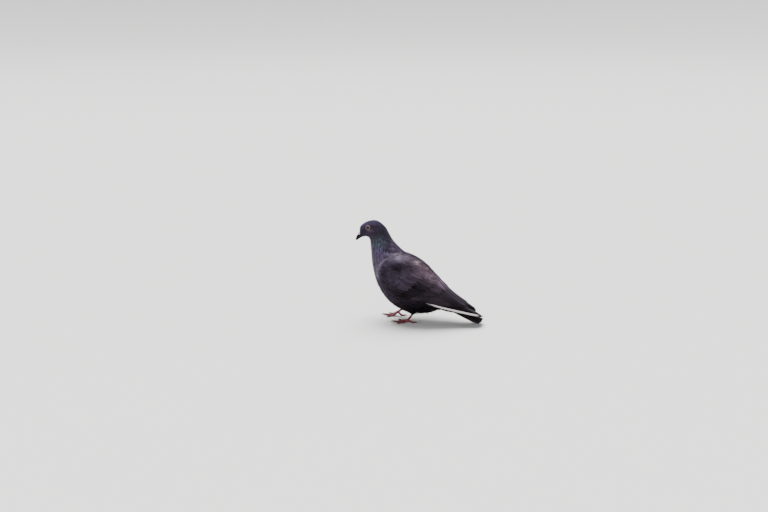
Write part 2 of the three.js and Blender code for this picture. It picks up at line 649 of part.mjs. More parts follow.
for (const [which, foot] of Object.entries(FEET)) {
  const joint = vec(foot.joint[0], foot.side * foot.joint[1], foot.joint[2]);
  const heel = vec(foot.heel[0], foot.side * foot.heel[1], foot.heel[2]);
  const knuckle = SHANK_RADIUS * 1.3;
  const toes = [ball(joint, knuckle)];
  const rooms = [ball(joint, knuckle + GAP)];
  for (const toe of TOES) {
    const turn = radians(toe.turn + foot.toeTurn) * foot.side;
    const ahead = vec(-Math.cos(turn), Math.sin(turn), 0);
    const end = joint.clone().addScaledVector(ahead, toe.length).setZ(toe.radius * 0.6);
    const bend = joint.clone().lerp(end, 0.5).setZ(mix(joint.z, end.z, 0.85) + 0.2);
    const past = end.clone().addScaledVector(ahead, 1.5);
    const flesh = tube([joint, bend, end, past], [1.08, 1, 0.8, 0.78].map((r) => r * toe.radius), 9);
    rooms.push(tube([joint, bend, end, past], [1.08, 1, 0.8, 0.78].map((r) => r * toe.radius + GAP), 9));
    toes.push(flesh.trimByPlane(ahead.clone().negate().toArray(), -ahead.dot(end)));
    const tip = end.clone().addScaledVector(ahead, toe.claw).setZ(0.1);
    const arch = end.clone().addScaledVector(ahead, toe.claw * 0.45).setZ(end.z + 1.1);
    const root = end.clone().addScaledVector(ahead, -1.5);
    const claw = tube([root, arch, tip], [0.66, 0.5, 0.12].map((r) => r * toe.radius), 8);
    const clear = claw.trimByPlane(ahead.toArray(), ahead.dot(end) + GAP);
    addNode(`${which}_${toe.name}_claw`, onFloor(clear), CLAW_HORN);
  }
  addNode(`${which}_foot`, onFloor(union(toes)), LEG_SKIN);
  const at = (share) => joint.clone().lerp(heel, share);
  const shank = tube([at(0), at(0.5), at(0.95)], [1, 0.92, 1.05].map((r) => r * SHANK_RADIUS), 10);
  const hip = vec(foot.hip[0], foot.side * foot.hip[1], foot.hip[2]);
  const knee = hip.clone().lerp(at(foot.bare), 0.5);
  const thigh = (grow) => tube([hip, knee, at(foot.bare)], THIGH_RADII.map((r) => r + grow), 16);
  addNode(`${which}_thigh`, thigh(0).subtract(bodyRoom), PLUMAGE);
  addNode(`${which}_shank`, shank.subtract(union([...rooms, bodyRoom, thigh(GAP)])), LEG_SKIN);
}

// The origin lies on the floor under the middle of the whole bird.
const bounds = new THREE.Box3().setFromObject(group);
const middle = bounds.getCenter(vec());
group.position.set(-middle.x, -middle.y, -bounds.min.z);

export default group;
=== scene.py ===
# %% [markdown]
# # A standing pigeon, dressed feather by feather
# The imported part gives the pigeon's size and pose: body, wings, tail, bill, eyes, legs and claws as plain
# solids. This lesson puts one smooth skin inside them and grows a coat of feathers on it. Every feather is
# a small closed mesh, bent to the surface that it lies on, so nothing here needs particles or images.

# %% Load the fixed frame
import json
import math

import bpy
import numpy as np
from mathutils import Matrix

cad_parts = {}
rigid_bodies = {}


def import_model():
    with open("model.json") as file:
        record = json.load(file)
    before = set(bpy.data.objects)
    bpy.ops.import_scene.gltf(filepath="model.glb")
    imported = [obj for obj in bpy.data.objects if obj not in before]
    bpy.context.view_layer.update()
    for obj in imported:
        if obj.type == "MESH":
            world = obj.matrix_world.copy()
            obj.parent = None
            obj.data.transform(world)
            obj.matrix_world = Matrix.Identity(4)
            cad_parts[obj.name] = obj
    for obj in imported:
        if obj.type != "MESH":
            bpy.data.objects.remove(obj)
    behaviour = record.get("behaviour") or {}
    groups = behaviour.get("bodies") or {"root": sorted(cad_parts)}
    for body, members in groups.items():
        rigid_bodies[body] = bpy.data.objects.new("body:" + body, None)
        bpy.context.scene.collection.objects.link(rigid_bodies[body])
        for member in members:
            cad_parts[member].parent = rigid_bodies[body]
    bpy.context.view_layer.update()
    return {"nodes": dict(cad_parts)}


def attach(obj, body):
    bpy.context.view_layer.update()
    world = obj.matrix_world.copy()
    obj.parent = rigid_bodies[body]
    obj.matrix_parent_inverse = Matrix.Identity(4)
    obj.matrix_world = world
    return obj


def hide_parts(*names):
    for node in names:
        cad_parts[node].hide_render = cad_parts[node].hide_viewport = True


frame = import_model()
scene = bpy.context.scene
print("nodes in the frame:", len(frame["nodes"]))

# %% [markdown]
# ## Lines and faces
# The part's source works in millimetres round the left foot. The same named numbers are used here, so the
# skin and feathers land where the solids are. A surface is a function of two numbers; asking it for a
# whole array of places at once keeps the work in numpy.

# %% Millimetres to the frame
MM = 0.001
ORIGIN = np.array([-18.625, -0.007, 0.0])  # the shift from the part's layout to the bird's middle, in mm
TURN = 2 * math.pi
dice = np.random.default_rng  # random draws from a seed


def metres(points):
    """Millimetres of the part's own layout, moved to the middle of the bird and scaled to metres."""
    return (np.asarray(points) + ORIGIN) * MM


def norm(vectors):
    return np.linalg.norm(vectors, axis=-1)


def join(*parts):
    """Arrays side by side in a new last axis, such as x, y and z."""
    return np.stack(parts, -1)


def unit(vectors):
    return vectors / np.maximum(np.linalg.norm(vectors, axis=-1, keepdims=True), 1e-12)


def smooth(x, low, high):
    """0 below low, 1 above high, and an S-shaped rise 3t^2 - 2t^3 between."""
    t = np.clip((np.asarray(x, float) - low) / (high - low), 0, 1)
    return t * t * (3 - 2 * t)


def fade(x, low, high):
    """1 below low, 0 above high."""
    return 1 - smooth(x, low, high)


def mix(a, b, share):
    return a + (b - a) * share


def round_grid(first, last, rows, columns, full=TURN):
    """Two arrays of rows by columns: even steps from first to last, and even turns up to a full circle."""
    return np.meshgrid(np.linspace(first, last, rows), np.linspace(0, full, columns, endpoint=False),
                       indexing="ij")


print("the bird's middle in the part's layout, mm:", *-ORIGIN[:2])


# %% A smooth line through points
def curve(points, share):
    """A Catmull-Rom line: between two points it is the cubic whose slopes are half the step between their
    neighbours. It runs on straight past both ends."""
    points = np.asarray(points, float)
    padded = np.vstack([2 * points[0] - points[1], points, 2 * points[-1] - points[-2]])
    share = np.asarray(share, float)
    inside = np.clip(share, 0, 1)
    place = inside * (len(points) - 1)
    i = np.minimum(place.astype(int), len(points) - 2)
    w = (place - i)[..., None]
    a, b, c, d = (padded[i + k] for k in range(4))
    s, e = 0.5 * (c - a), 0.5 * (d - b)
    at = b + s * w + (3 * (c - b) - 2 * s - e) * w**2 + (2 * (b - c) + s + e) * w**3
    slope = s + 2 * (3 * (c - b) - 2 * s - e) * w + 3 * (2 * (b - c) + s + e) * w**2
    return at + slope * ((share - inside) * (len(points) - 1))[..., None]


def smooth_line(values, share):
    """The same kind of line through single numbers."""
    return curve(np.c_[values], share)[..., 0]


print("halfway through 0, 1 and 3:", smooth_line([0, 1, 3], 0.5))

# %% The body: rings hung between a back line and a belly line
BACK = [[63, 66], [45, 91], [18.5, 118.5], [-8, 136.5], [-26, 150], [-37, 162], [-44.5, 175], [-52.5, 189],
        [-69, 201.5], [-87, 200.5], [-101.6, 191], [-104.6, 179]]
BELLY = [[68, 34], [40, 19.5], [-2, 17.2], [-38, 33], [-64, 65], [-77, 105], [-81.3, 140], [-84, 163],
         [-91, 169.5], [-97, 169.8], [-100.6, 169.2], [-102.2, 169.6]]
GIRTH = [[21, 0.1], [32, 0.06], [38.5, 0.02], [40, -0.02], [35.5, -0.02], [28.5, -0.02], [20, 0], [15, -0.05],
         [13.5, -0.12], [11.5, -0.15], [8, -0.1], [4.4, 0]]
LAST_RIB = len(BACK) - 1
HEAD_TURN, NECK_AXIS_X, TURN_FROM, TURN_TO = 15, -62, 136, 172


def turned(p):
    """The neck's twist: a turn about an upright line that grows from the shoulders to the head."""
    angle = math.radians(HEAD_TURN) * smooth(p[..., 2], TURN_FROM, TURN_TO)
    x, y = p[..., 0] - NECK_AXIS_X, p[..., 1]
    c, s = np.cos(angle), np.sin(angle)
    return join(c * x - s * y + NECK_AXIS_X, s * x + c * y, p[..., 2])


def upright_body(rib, around):
    """An egg-shaped ring at each rib: half the height times the cosine of the angle from the back, and the
    half width times its sine, a little wider towards the back or the belly."""
    share = np.asarray(rib, float) / LAST_RIB
    back, belly, girth = (curve(line, share) for line in (BACK, BELLY, GIRTH))
    angle = np.radians(around)
    c, s = np.cos(angle), np.sin(angle)
    up = (back - belly) / 2
    x, z = (belly[..., k] + up[..., k] * (1 + c) for k in (0, 1))
    return join(x, girth[..., 0] * s * (1 + girth[..., 1] * c), z)


def body(rib, around):
    return turned(upright_body(rib, around))


print("crown height, mm:", round(float(body(8.3, 0)[2]), 1))

# %% The folded wing: a parabola across three lines
WING_TOP = [[-38, 31, 137], [-6, 19, 135], [28, 7.5, 119], [54, 3, 93.5], [88, 2.5, 58], [122, 4.5, 35.5],
            [152, 4, 21.5]]
WING_SIDE = [[-62, 33.5, 109], [-26, 46, 107], [14, 48.5, 92], [54, 43, 70.5], [89, 31, 51.5],
             [122, 20, 35.8], [151, 8.5, 21.5]]
WING_LOW = [[-53, 31.5, 80], [-28, 39.5, 62], [6, 42.5, 53], [42, 39.5, 48], [84, 32, 38], [120, 23, 29],
            [148, 13, 19]]
ROLL, ROLL_SHARE = 6.5, 0.05  # the front edge's roll: its radius in mm, and how much of the length it takes


def wing(side):
    """The outer face of one folded wing, from the wrist, 0, to the tip, 1, and down from its top edge, 0, to
    its lower edge, 1: (1-d)^2 top + 2d(1-d) pull + d^2 low. Above the top edge it bends over the back, and
    ahead of the wrist it rolls inwards on a quarter circle of the roll's radius."""
    def flat(along, down):
        top, middle, low = (curve(line, along) for line in (WING_TOP, WING_SIDE, WING_LOW))
        pull = 2 * middle - (top + low) / 2
        d = np.maximum(down, 0)[..., None]
        over = np.minimum(down, 0) * norm(2 * (pull - top))
        points = (1 - d) ** 2 * top + 2 * d * (1 - d) * pull + d**2 * low
        points = points + over[..., None] * [0, 1, -0.2]
        return points * [1, side, 1]

    def face(along, down):
        along, down = np.broadcast_arrays(np.asarray(along, float), np.asarray(down, float))
        points = flat(np.maximum(along, 0), down)
        front = along < 0
        if front.any():
            d = down[front]
            ahead = unit(flat(0 * d, d) - flat(0 * d + 0.01, d))
            inward = unit(np.cross(ahead, flat(0 * d, d + 0.01) - flat(0 * d, d - 0.01))) * side
            angle = np.minimum(-along[front] / ROLL_SHARE, 1.2)[..., None] * math.pi / 2
            points[front] += ROLL * (ahead * np.sin(angle) + inward * (1 - np.cos(angle)))
        return points
    return face


print("folded wing from wrist to tip, mm:", round(float(norm(wing(1)(1, 0.5) - wing(1)(0, 0.5)))))

# %% The tail: a nearly flat fan that hangs at its sides
TAIL_ROOT, TAIL_TIP = np.array([48, 0, 49.5]), np.array([147.5, 0, 9.6])
TAIL_SPREAD, TAIL_SAG, TAIL_LIFT = (15, 24.5), 4.5, 3.0
TAIL_LENGTH = float(np.linalg.norm(TAIL_TIP - TAIL_ROOT))
TAIL_ALONG = (TAIL_TIP - TAIL_ROOT) / TAIL_LENGTH
TAIL_UP = np.array([-TAIL_ALONG[2], 0, TAIL_ALONG[0]])


def tail(length, y, height=0.0):
    """A place along the tail, to its side and over it; the fan sags with the square of the side and is
    lifted a little towards its tip."""
    length, y, height = np.broadcast_arrays(*(np.asarray(v, float) for v in (length, y, height)))
    sag = TAIL_SAG * (y / TAIL_SPREAD[1]) ** 2 * mix(1, 0.55, length / TAIL_LENGTH)
    lift = TAIL_LIFT * smooth(length, 5, 65)
    rise = (height - sag + lift)[..., None] * TAIL_UP
    return TAIL_ROOT + length[..., None] * TAIL_ALONG + rise + y[..., None] * np.array([0, 1, 0])


print("tail, mm:", round(TAIL_LENGTH, 1))


# %% Height over a face
def raised(face, outward, steps):
    """A face with height: the point plus the height times the unit normal, which is the cross product of
    the face's two slopes. It returns the points and the normals."""
    du, dv = steps

    def place(u, v, height):
        slope_u = face(u + du, v) - face(u - du, v)
        slope_v = face(u, v + dv) - face(u, v - dv)
        normal = unit(np.cross(slope_u, slope_v)) * outward
        return face(u, v) + normal * np.asarray(height)[..., None], normal
    return place


def saddle(along, across):
    """The back between the wings' top edges, from one, -1, to the other, 1: it follows their line and
    swells in the middle by a share of the gap times 1 - across^2."""
    along, across = np.broadcast_arrays(np.asarray(along, float), np.asarray(across, float))
    top = curve(WING_TOP, along)
    swell = (1.5 + 0.18 * top[..., 1]) * (1 - across**2)
    return join(top[..., 0], (top[..., 1] + 2) * across, top[..., 2] + swell)


RIB_STEP = 0.02
BODY = raised(body, -1, (RIB_STEP, 0.5))
SADDLE = raised(saddle, 1, (0.004, 0.02))
WINGS = {side: raised(wing(side), side, (0.004, 0.01)) for side in (-1, 1)}
print("way out of the back's middle:", SADDLE(0.3, 0, 0)[1].round(2))

# %% [markdown]
# ## Where the colours lie
# A pigeon's colour changes softly from place to place: bluish head, green and purple neck, mauve shoulders,
# a dark middle of the wing, a black vent and tail. Each is a soft spot in space with a centre, a reach
# and a colour. Skin and feathers ask the same function, so what shows between two feathers matches them.


# %% Soft spots of colour
def linear(r, g, b):
    """Screen colour, 0 to 255, to the linear values that a shader uses."""
    c = np.array([r, g, b]) / 255
    return np.where(c <= 0.04045, c / 12.92, ((c + 0.055) / 1.055) ** 2.4)


GROUND_COLOUR = linear(44, 37, 48)
# name: centre (x, distance from the middle, z), reach, colour, strength
SPOTS = {
    "breast": ((-62, 0, 85), (34, 40, 42), (75, 65, 83), 0.85),
    "lower neck": ((-62, 20, 130), (22, 26, 22), (60, 52, 73), 0.9),
    "mantle": ((-28, 8, 150), (20, 30, 16), (58, 48, 66), 0.9),
    "head": ((-82, 8, 186), (30, 26, 22), (47, 38, 57), 1.0),
    "crown": ((-84, 0, 202), (24, 14, 9), (67, 60, 90), 0.9),
    "cheek": ((-80, 16, 178), (13, 14, 9), (54, 42, 56), 0.8),
    "forehead": ((-94, 10, 194), (7, 9, 6), (68, 59, 90), 0.8),
    "under eye": ((-79, 18.5, 183.5), (6, 5, 2.2), (94, 79, 91), 0.65),
    "behind eye": ((-75, 16, 191), (3.5, 4, 2.5), (38, 26, 36), 0.6),
    "lores": ((-93, 18.5, 182), (4, 4, 3), (30, 20, 34), 0.7),
    "jaw": ((-87, 14, 173), (7, 8, 4), (44, 35, 68), 0.7),
    "ear": ((-65, 19, 177), (8, 8, 7), (26, 22, 30), 0.75),
    "neck base": ((-54, 27, 132), (8, 10, 9), (86, 72, 98), 0.6),
    "neck hollow": ((-44, 20, 150), (8, 12, 10), (34, 28, 42), 0.7),
    "hind neck": ((-50, 6, 172), (15, 22, 16), (28, 26, 34), 0.9),
    "belly": ((-6, 10, 24), (50, 44, 22), (20, 15, 19), 0.95),
    "vent": ((36, 16, 30), (44, 40, 24), (7, 4, 6), 0.98),
    # partly painted highlight: the shoulder's own paler mauve, made lighter still along its top where light
    # falls
    "shoulder": ((-25, 27, 133), (23, 14, 6.5), (94, 84, 102), 0.88),
    "front edge": ((-42, 36, 115), (10, 13, 13), (62, 54, 70), 0.85),
    # painted highlight: a light band along the top of the mantle, where light falls
    "painted mantle highlight": ((-18, 21, 138.5), (22, 10, 4.2), (122, 111, 127), 0.8),
    "wrist": ((-46, 40, 96), (14, 18, 24), (37, 31, 41), 0.85),
    # painted highlight: a pale line down the wing's front edge by the wrist
    "painted wrist edge highlight": ((-61, 33, 106), (6, 8, 17), (110, 102, 118), 0.7),
    "wing dark": ((-19, 43, 116.5), (15, 13, 8), (11, 7, 14), 0.92),
    "wing lower": ((-4, 47, 67), (44, 18, 15), (6, 3, 5), 0.97),
    "wing band": ((-6, 50, 92), (22, 14, 7), (66, 55, 71), 0.8),
    "wing line": ((2, 40, 118), (14, 8, 4), (20, 15, 22), 0.75),
    "wing middle": ((-8, 47, 105), (13, 10, 6), (60, 51, 63), 0.65),
    "hollow": ((18, 50, 85), (18, 12, 8.5), (8, 5, 8), 0.92),
    "coverts dark": ((37, 40, 88), (12, 12, 8), (9, 6, 10), 0.94),
    "lower light": ((13, 48, 63), (8, 9, 6), (66, 54, 62), 0.8),
    "secondary root": ((30, 46, 59), (10, 12, 7), (8, 5, 7), 0.85),
    "secondary top": ((43, 46, 76), (8, 9, 5), (58, 46, 54), 0.6),
    "back": ((36, 16, 108), (30, 20, 14), (88, 72, 82), 0.85),
    "rear back": ((58, 8, 90), (24, 16, 14), (99, 83, 100), 0.9),
    # painted highlight: a bright spot on the scapulars
    "painted scapular highlight": ((14, 17, 124.5), (8, 6, 4.5), (138, 120, 130), 0.7),
    "scapular dark": ((30, 22, 110), (7, 8, 5), (50, 40, 52), 0.7),
    "tertials": ((68, 14, 79), (8, 8, 6), (106, 93, 114), 0.7),
    "tertials dark": ((52, 24, 87.5), (10, 10, 6.5), (28, 18, 26), 0.9),
    "rim": ((88, 6, 60), (20, 12, 12), (30, 23, 32), 0.7),
    "secondaries": ((64, 40, 66), (26, 18, 12), (38, 27, 32), 0.8),
    "primaries": ((104, 24, 44), (34, 24, 14), (7, 5, 7), 0.94),
    "primary tips": ((124, 16, 34), (12, 14, 8), (34, 27, 31), 0.6),
    "primary band": ((80, 33, 48), (9, 8, 5), (44, 36, 42), 0.7),
    "secondary light": ((68, 37, 61), (8, 8, 6), (56, 46, 55), 0.6),
    "tail": ((118, 0, 14), (52, 40, 18), (18, 14, 15), 0.95),
}


def markings(points):
    """The colour at points in mm: each spot in turn is mixed in by its strength times exp(-distance^2),
    with the distance measured in its own reach."""
    p = np.array(points, float)
    p[..., 1] = np.abs(p[..., 1])
    colour = np.broadcast_to(GROUND_COLOUR, p.shape).copy()
    for centre, reach, shade, strength in SPOTS.values():
        near = strength * np.exp(-(((p - np.array(centre)) / reach) ** 2).sum(-1))[..., None]
        colour += (linear(*shade) - colour) * near
    return colour


print("colour spots:", len(SPOTS))

# %% [markdown]
# ## One feather
# A contour feather is a thin cambered leaf: narrow and hidden at its root, broad past the middle and round
# at its tip. Its barbs leave the shaft at a slant. Here it is a grid of rows along the shaft and columns
# across it, with an under face that shares the grid's rim, so that it is closed and has a fine edge.


# %% The faces of a leaf
def leaf_faces(rows, cols):
    """Quads of the upper grid, then of the under grid turned over. The rim's points are shared, so an under
    point gets a number of its own only inside the rim."""
    top = np.arange(rows * cols).reshape(rows, cols)
    under = top.copy()
    under[1:-1, 1:-1] = rows * cols + np.arange((rows - 2) * (cols - 2)).reshape(rows - 2, cols - 2)
    quads = [join(g[:-1, :-1], g[1:, :-1], g[1:, 1:], g[:-1, 1:]).reshape(-1, 4)
             for g in (top, under)]
    return np.vstack([quads[0], quads[1][:, ::-1]]), rows * cols + (rows - 2) * (cols - 2)


print("quads of a leaf of 8 by 5 points:", len(leaf_faces(8, 5)[0]))

# %% Many leaves at once
LEAF_SHAPES = {  # share of the half width at even steps from root to tip
    "contour": [0.34, 0.72, 0.96, 1.0, 0.9, 0.5],
    "narrow": [0.45, 0.8, 0.95, 0.95, 0.8, 0.4],
    "quill": [0.55, 0.85, 1.0, 1.0, 0.98, 0.92, 0.74, 0.3],
    "covert": [0.5, 0.85, 1.0, 1.0, 0.88, 0.42],
    "tail": [0.5, 0.8, 0.95, 1.0, 1.0, 1.0, 0.98, 0.92, 0.7],
    "edge": [0.3, 0.5, 0.7, 0.85, 0.94, 1.0, 1.0, 0.97, 0.6],
}


def leaves(place, length, half, shape, size, thick=0.3, camber=0.03, tip_round=0.1, ragged=0.04, seed=1,
           rachis=0.0):
    """Closed leaves as arrays. place(share, across, height) gives points and normals for arrays of shape
    (leaves, rows, cols), with across and height in mm. The leaf is cambered by camber times the square of
    the share across, its corners end sooner by tip_round, its rim is a little ragged, and with a rachis it
    has a raised shaft."""
    rng = dice(seed)
    count, (rows, cols) = len(length), size
    share = np.linspace(0, 1, rows)[None, :, None]
    if rachis:
        inner = np.linspace(0.1, 1, (cols - 1) // 2)
        across = np.concatenate([-inner[::-1], [0], inner])[None, None, :]
    else:
        across = np.linspace(-1, 1, cols)[None, None, :]
    widths = LEAF_SHAPES[shape]
    wide = np.interp(share[0, :, 0], np.linspace(0, 1, len(widths)), widths)
    wide = wide[None, :, None] * (1 + ragged * rng.normal(size=(count, rows, cols)) * np.abs(across))
    s = share - tip_round * share**3 * across**2
    s = s + ragged * 0.5 * rng.normal(size=(count, rows, cols)) * share**4
    bow = -camber * across**2 * half[:, None, None] + rachis * (np.abs(across) < 0.05) * (1 - 0.8 * share)
    offset = across * wide * half[:, None, None]
    points, out = place(s, offset, bow)
    depth = (thick * (1 - 0.6 * share))[..., None]
    under = (points - out * depth)[:, 1:-1, 1:-1]
    template, each = leaf_faces(rows, cols)
    both = np.concatenate([points.reshape(count, -1, 3), under.reshape(count, -1, 3)], 1)
    faces = (template[None] + (np.arange(count) * each)[:, None, None]).reshape(-1, 4)
    slope = np.cross(points[:, 1, 0] - points[:, 0, 0], points[:, 0, 1] - points[:, 0, 0])
    if (slope * out[:, 0, 0]).sum() < 0:
        faces = faces[:, ::-1]

    def pair(grid):
        grid = np.broadcast_to(grid, (count, rows, cols))
        return np.concatenate([grid.reshape(count, -1), grid[:, 1:-1, 1:-1].reshape(count, -1)], 1)
    vane = join(pair(offset), pair(s * length[:, None, None]), pair(rng.random((count, 1, 1))))
    shares = join(pair(across), pair(np.clip(s, 0, 1)))
    return {"points": both.reshape(-1, 3), "faces": faces, "each": each, "count": count,
            "vane": vane.reshape(-1, 3), "shares": shares.reshape(-1, 2)}


print("outlines of leaves:", *LEAF_SHAPES)


# %% Feathers that follow a face
def lay(over, roots, length, half, heading, rise, shape, size, slant=0, curl=0, **leaf):
    """Feathers on a face with height. A share along a feather moves from its root by length along the
    first number of the face and by the slant along the second; across moves along the second. They rise
    from the first height to the second by the share^0.45, and curl up by its cube."""
    u0, v0 = roots.T
    flat = lambda u, v: over(u, v, np.zeros_like(u))[0]
    du, dv = 1e-3 * heading[1], 1e-3 * heading[2]
    reach_u = norm(flat(u0 + du, v0) - flat(u0, v0)) / du
    mid = u0 + heading[0] * 0.5 * length / reach_u
    reach_u = norm(flat(mid + du, v0) - flat(mid, v0)) / du
    reach_v = norm(flat(mid, v0 + dv) - flat(mid, v0)) / dv
    col = lambda a: np.broadcast_to(a, u0.shape)[:, None, None]

    def place(s, offset, bow):
        u = col(u0) + heading[0] * s * col(length) / col(reach_u)
        v = col(v0) + (offset + s * col(length) * np.tan(col(slant))) / col(reach_v)
        inside = np.clip(s, 0, 1)
        height = mix(col(rise[0]), col(rise[1]), inside**0.45) + bow + col(curl) * inside**3
        return over(u, v, height)
    return leaves(place, length, half, shape, size, **{"camber": 0.08, **leaf})


def on_map(places):
    """Where feathers' patches start on the bake map, from two shares of the face that they grow on."""
    return places * 0.98 + 0.005


# %% Even places on a face
def spread(face, low, high, spacing, tries, seed, keep=None):
    """Random places, taken one by one where no place taken before is nearer than the spacing there, so they
    are even but in no rows."""
    rng = dice(seed)
    places = np.array(low) + (np.array(high) - low) * rng.random((tries, 2))
    points = face(*places.T)
    if keep is not None:
        stay = keep(points, places)
        places, points = places[stay], points[stay]
    apart = spacing(*places.T)
    taken = np.zeros((0, 3))
    chosen = []
    for part in np.array_split(np.arange(len(points)), max(1, len(points) // 300)):
        near = norm(points[part][:, None] - taken[None]) < apart[part][:, None]
        added = []
        for i in part[~near.any(1)]:
            if not added or (norm(points[added] - points[i]) > apart[i]).all():
                added.append(i)
        chosen += added
        taken = np.vstack([taken, points[added]])
    return places[chosen]


# %% Arrays into a mesh
def mesh_of(name, points, faces):
    """A mesh from points in mm and equal faces, set as whole arrays."""
    faces = np.asarray(faces)
    mesh = bpy.data.meshes.new(name)
    mesh.vertices.add(len(points))
    mesh.vertices.foreach_set("co", metres(points).astype(np.float32).ravel())
    mesh.loops.add(faces.size)
    mesh.loops.foreach_set("vertex_index", faces.astype(np.int32).ravel())
    mesh.polygons.add(len(faces))
    mesh.polygons.foreach_set("loop_start", np.arange(len(faces), dtype=np.int32) * faces.shape[1])
    mesh.update(calc_edges=True)
    mesh.shade_smooth()
    return mesh


def mesh_of_form(name, form, move=metres, smooth_shade=True):
    """A mesh from a closed form: its points and its lists of corners."""
    mesh = bpy.data.meshes.new(name)
    mesh.from_pydata(move(form[0]).tolist(), [], form[1])
    if smooth_shade:
        mesh.shade_smooth()
    return mesh


def paint(mesh, colour):
    """The colour of each point, as the attribute plume."""
    layer = mesh.color_attributes.new(name="plume", type="FLOAT_COLOR", domain="POINT")
    layer.data.foreach_set("color", np.c_[colour, np.ones(len(colour))].astype(np.float32).ravel())


def note(mesh, name, vectors):
    layer = mesh.attributes.new(name, "FLOAT_VECTOR", "POINT")
    layer.data.foreach_set("vector", np.asarray(vectors, np.float32).ravel())


def unwrap(mesh, place):
    """A UV map named OFBake from one place for each vertex."""
    corners = np.empty(len(mesh.loops), np.int32)
    mesh.loops.foreach_get("vertex_index", corners)
    mesh.uv_layers.new(name="OFBake").data.foreach_set("uv", place[corners].astype(np.float32).ravel())


# %% Objects in the scene
def placed(name, data):
    made = bpy.data.objects.new(name, data)
    scene.collection.objects.link(made)
    return made


def piece(name, mesh, materials, replaces=()):
    """An object of the one body and the nodes of the part that it takes the place of."""
    made = placed(name, mesh)
    for each in materials:
        mesh.materials.append(each)
    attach(made, "root")
    if replaces:
        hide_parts(*replaces)
    print(f"{name}: {sum(len(p.vertices) - 2 for p in mesh.polygons)} triangles")

# %% Feathers into a piece of the coat
PATCH = 0.003  # how much of the bake map one feather takes
OWN = 0.75  # how much of a feather's colour is that of its middle


def coat(name, groups, material, own=OWN, strips=False):
    """Joins groups of leaves. Each leaf has the colour of its own middle, mixed with that of each point.
    On the bake map it is a small patch at its root's place, or with strips a strip of its own."""
    parts, start, leaf = [], 0, 0
    total = sum(g["count"] for g in groups)
    for g in groups:
        grid = (g["count"], g["each"])
        p = g["points"].reshape(*grid, 3)
        colour = g.get("colour")
        if colour is None:
            colour = mix(markings(p), markings(p.mean(1))[:, None], own)
        # a painted highlight, where a group carries one, is mixed in by its share
        if "tint" in g:
            colour = mix(colour, g["tint"][0], g["tint"][1].reshape(*grid, 1))
        across, along = np.moveaxis(g["shares"].reshape(*grid, 2), -1, 0)
        if strips:
            row = (leaf + np.arange(g["count"]))[:, None]
            uv = join(along * 0.98 + 0.01, (row + 0.5 + 0.4 * across) / total)
        else:
            uv = g["spot"][:, None] + PATCH * join(along, across / 2)
        gloss = np.repeat(np.broadcast_to(g.get("gloss", 0.0), g["count"]), g["each"])
        parts.append((g["points"], g["faces"] + start, colour.reshape(-1, 3), g["vane"],
                      np.c_[g["shares"], gloss], uv.reshape(-1, 2)))
        start += len(g["points"])
        leaf += g["count"]
    points, faces, colours, vanes, shares, uv = (np.vstack(column) for column in zip(*parts))
    mesh = mesh_of(name, points, faces)
    paint(mesh, colours)
    note(mesh, "vane", vanes)
    note(mesh, "share", shares)
    unwrap(mesh, uv)
    piece(name, mesh, [material])

# %% [markdown]
# ## Finishes
# Feathers, skin and scales need the same few effects: the fine slanting lines of barbs with a pale shaft,
# and a soft mottle. Each is a node group that is built once. The Principled shader stays in each
# material, with its constant values set on its own sockets.


# %% Small helpers for node trees
def feed(tree, node, **inputs):
    """Links or sets a node's inputs. In a name, _ stands for a space, and _0 is the first input."""
    for key, value in inputs.items():
        socket = node.inputs[int(key[1:])] if key[0] == "_" else node.inputs[key.replace("_", " ")]
        if isinstance(value, bpy.types.NodeSocket):
            tree.links.new(value, socket)
        else:
            socket.default_value = value
    return node


def add(tree, kind, settings=None, **inputs):
    made = tree.nodes.new("ShaderNode" + kind)
    for key, value in (settings or {}).items():
        setattr(made, key, value)
    return feed(tree, made, **inputs)


def calc(tree, operation, a, b=0.0, c=0.0):
    return add(tree, "Math", {"operation": operation}, _0=a, _1=b, _2=c).outputs[0]


def blend(tree, factor, a, b):
    a, b = (v if isinstance(v, bpy.types.NodeSocket) else (*v, 1) for v in (a, b))
    return add(tree, "Mix", {"data_type": "RGBA"}, _0=factor, _6=a, _7=b).outputs[2]


def times(tree, colour, factor):
    return add(tree, "VectorMath", {"operation": "SCALE"}, _0=colour, Scale=factor).outputs[0]


def eased(tree, value, low, high, first, last):
    """An S-shaped step from first, where the value is low, to last, where it is high."""
    return add(tree, "MapRange", {"interpolation_type": "SMOOTHSTEP"}, _0=value, _1=low, _2=high, _3=first,
               _4=last).outputs[0]


def noise(tree, vector, scale, detail=2.0, **more):
    return add(tree, "TexNoise", Vector=vector, Scale=scale, Detail=detail, **more).outputs[0]


def embossed(tree, height, distance, strength):
    """A normal from a height, with the relief's depth in mm."""
    return add(tree, "Bump", Strength=strength, Distance=distance * MM, Height=height).outputs[0]


def own_place(tree):
    return add(tree, "TexCoord").outputs["Object"]


def attribute(tree, name, output="Vector"):
    return add(tree, "Attribute", {"attribute_name": name}).outputs[output]


def split(tree, vector):
    return add(tree, "SeparateXYZ", _0=vector).outputs


# %% Groups and materials
def effect(name, inputs, outputs):
    """A new shader node group with named sockets, what it is given, and its output node."""
    tree = bpy.data.node_groups.new(name, "ShaderNodeTree")
    for labels, way in ((inputs, "INPUT"), (outputs, "OUTPUT")):
        for label, kind in labels.items():
            tree.interface.new_socket(label, in_out=way, socket_type="NodeSocket" + kind)
    return tree, tree.nodes.new("NodeGroupInput").outputs, tree.nodes.new("NodeGroupOutput")


def use(tree, group, **inputs):
    return add(tree, "Group", {"node_tree": group}, **inputs).outputs


def material(name):
    made = bpy.data.materials.new(name)
    made.use_nodes = True
    return made, made.node_tree, made.node_tree.nodes["Principled BSDF"]

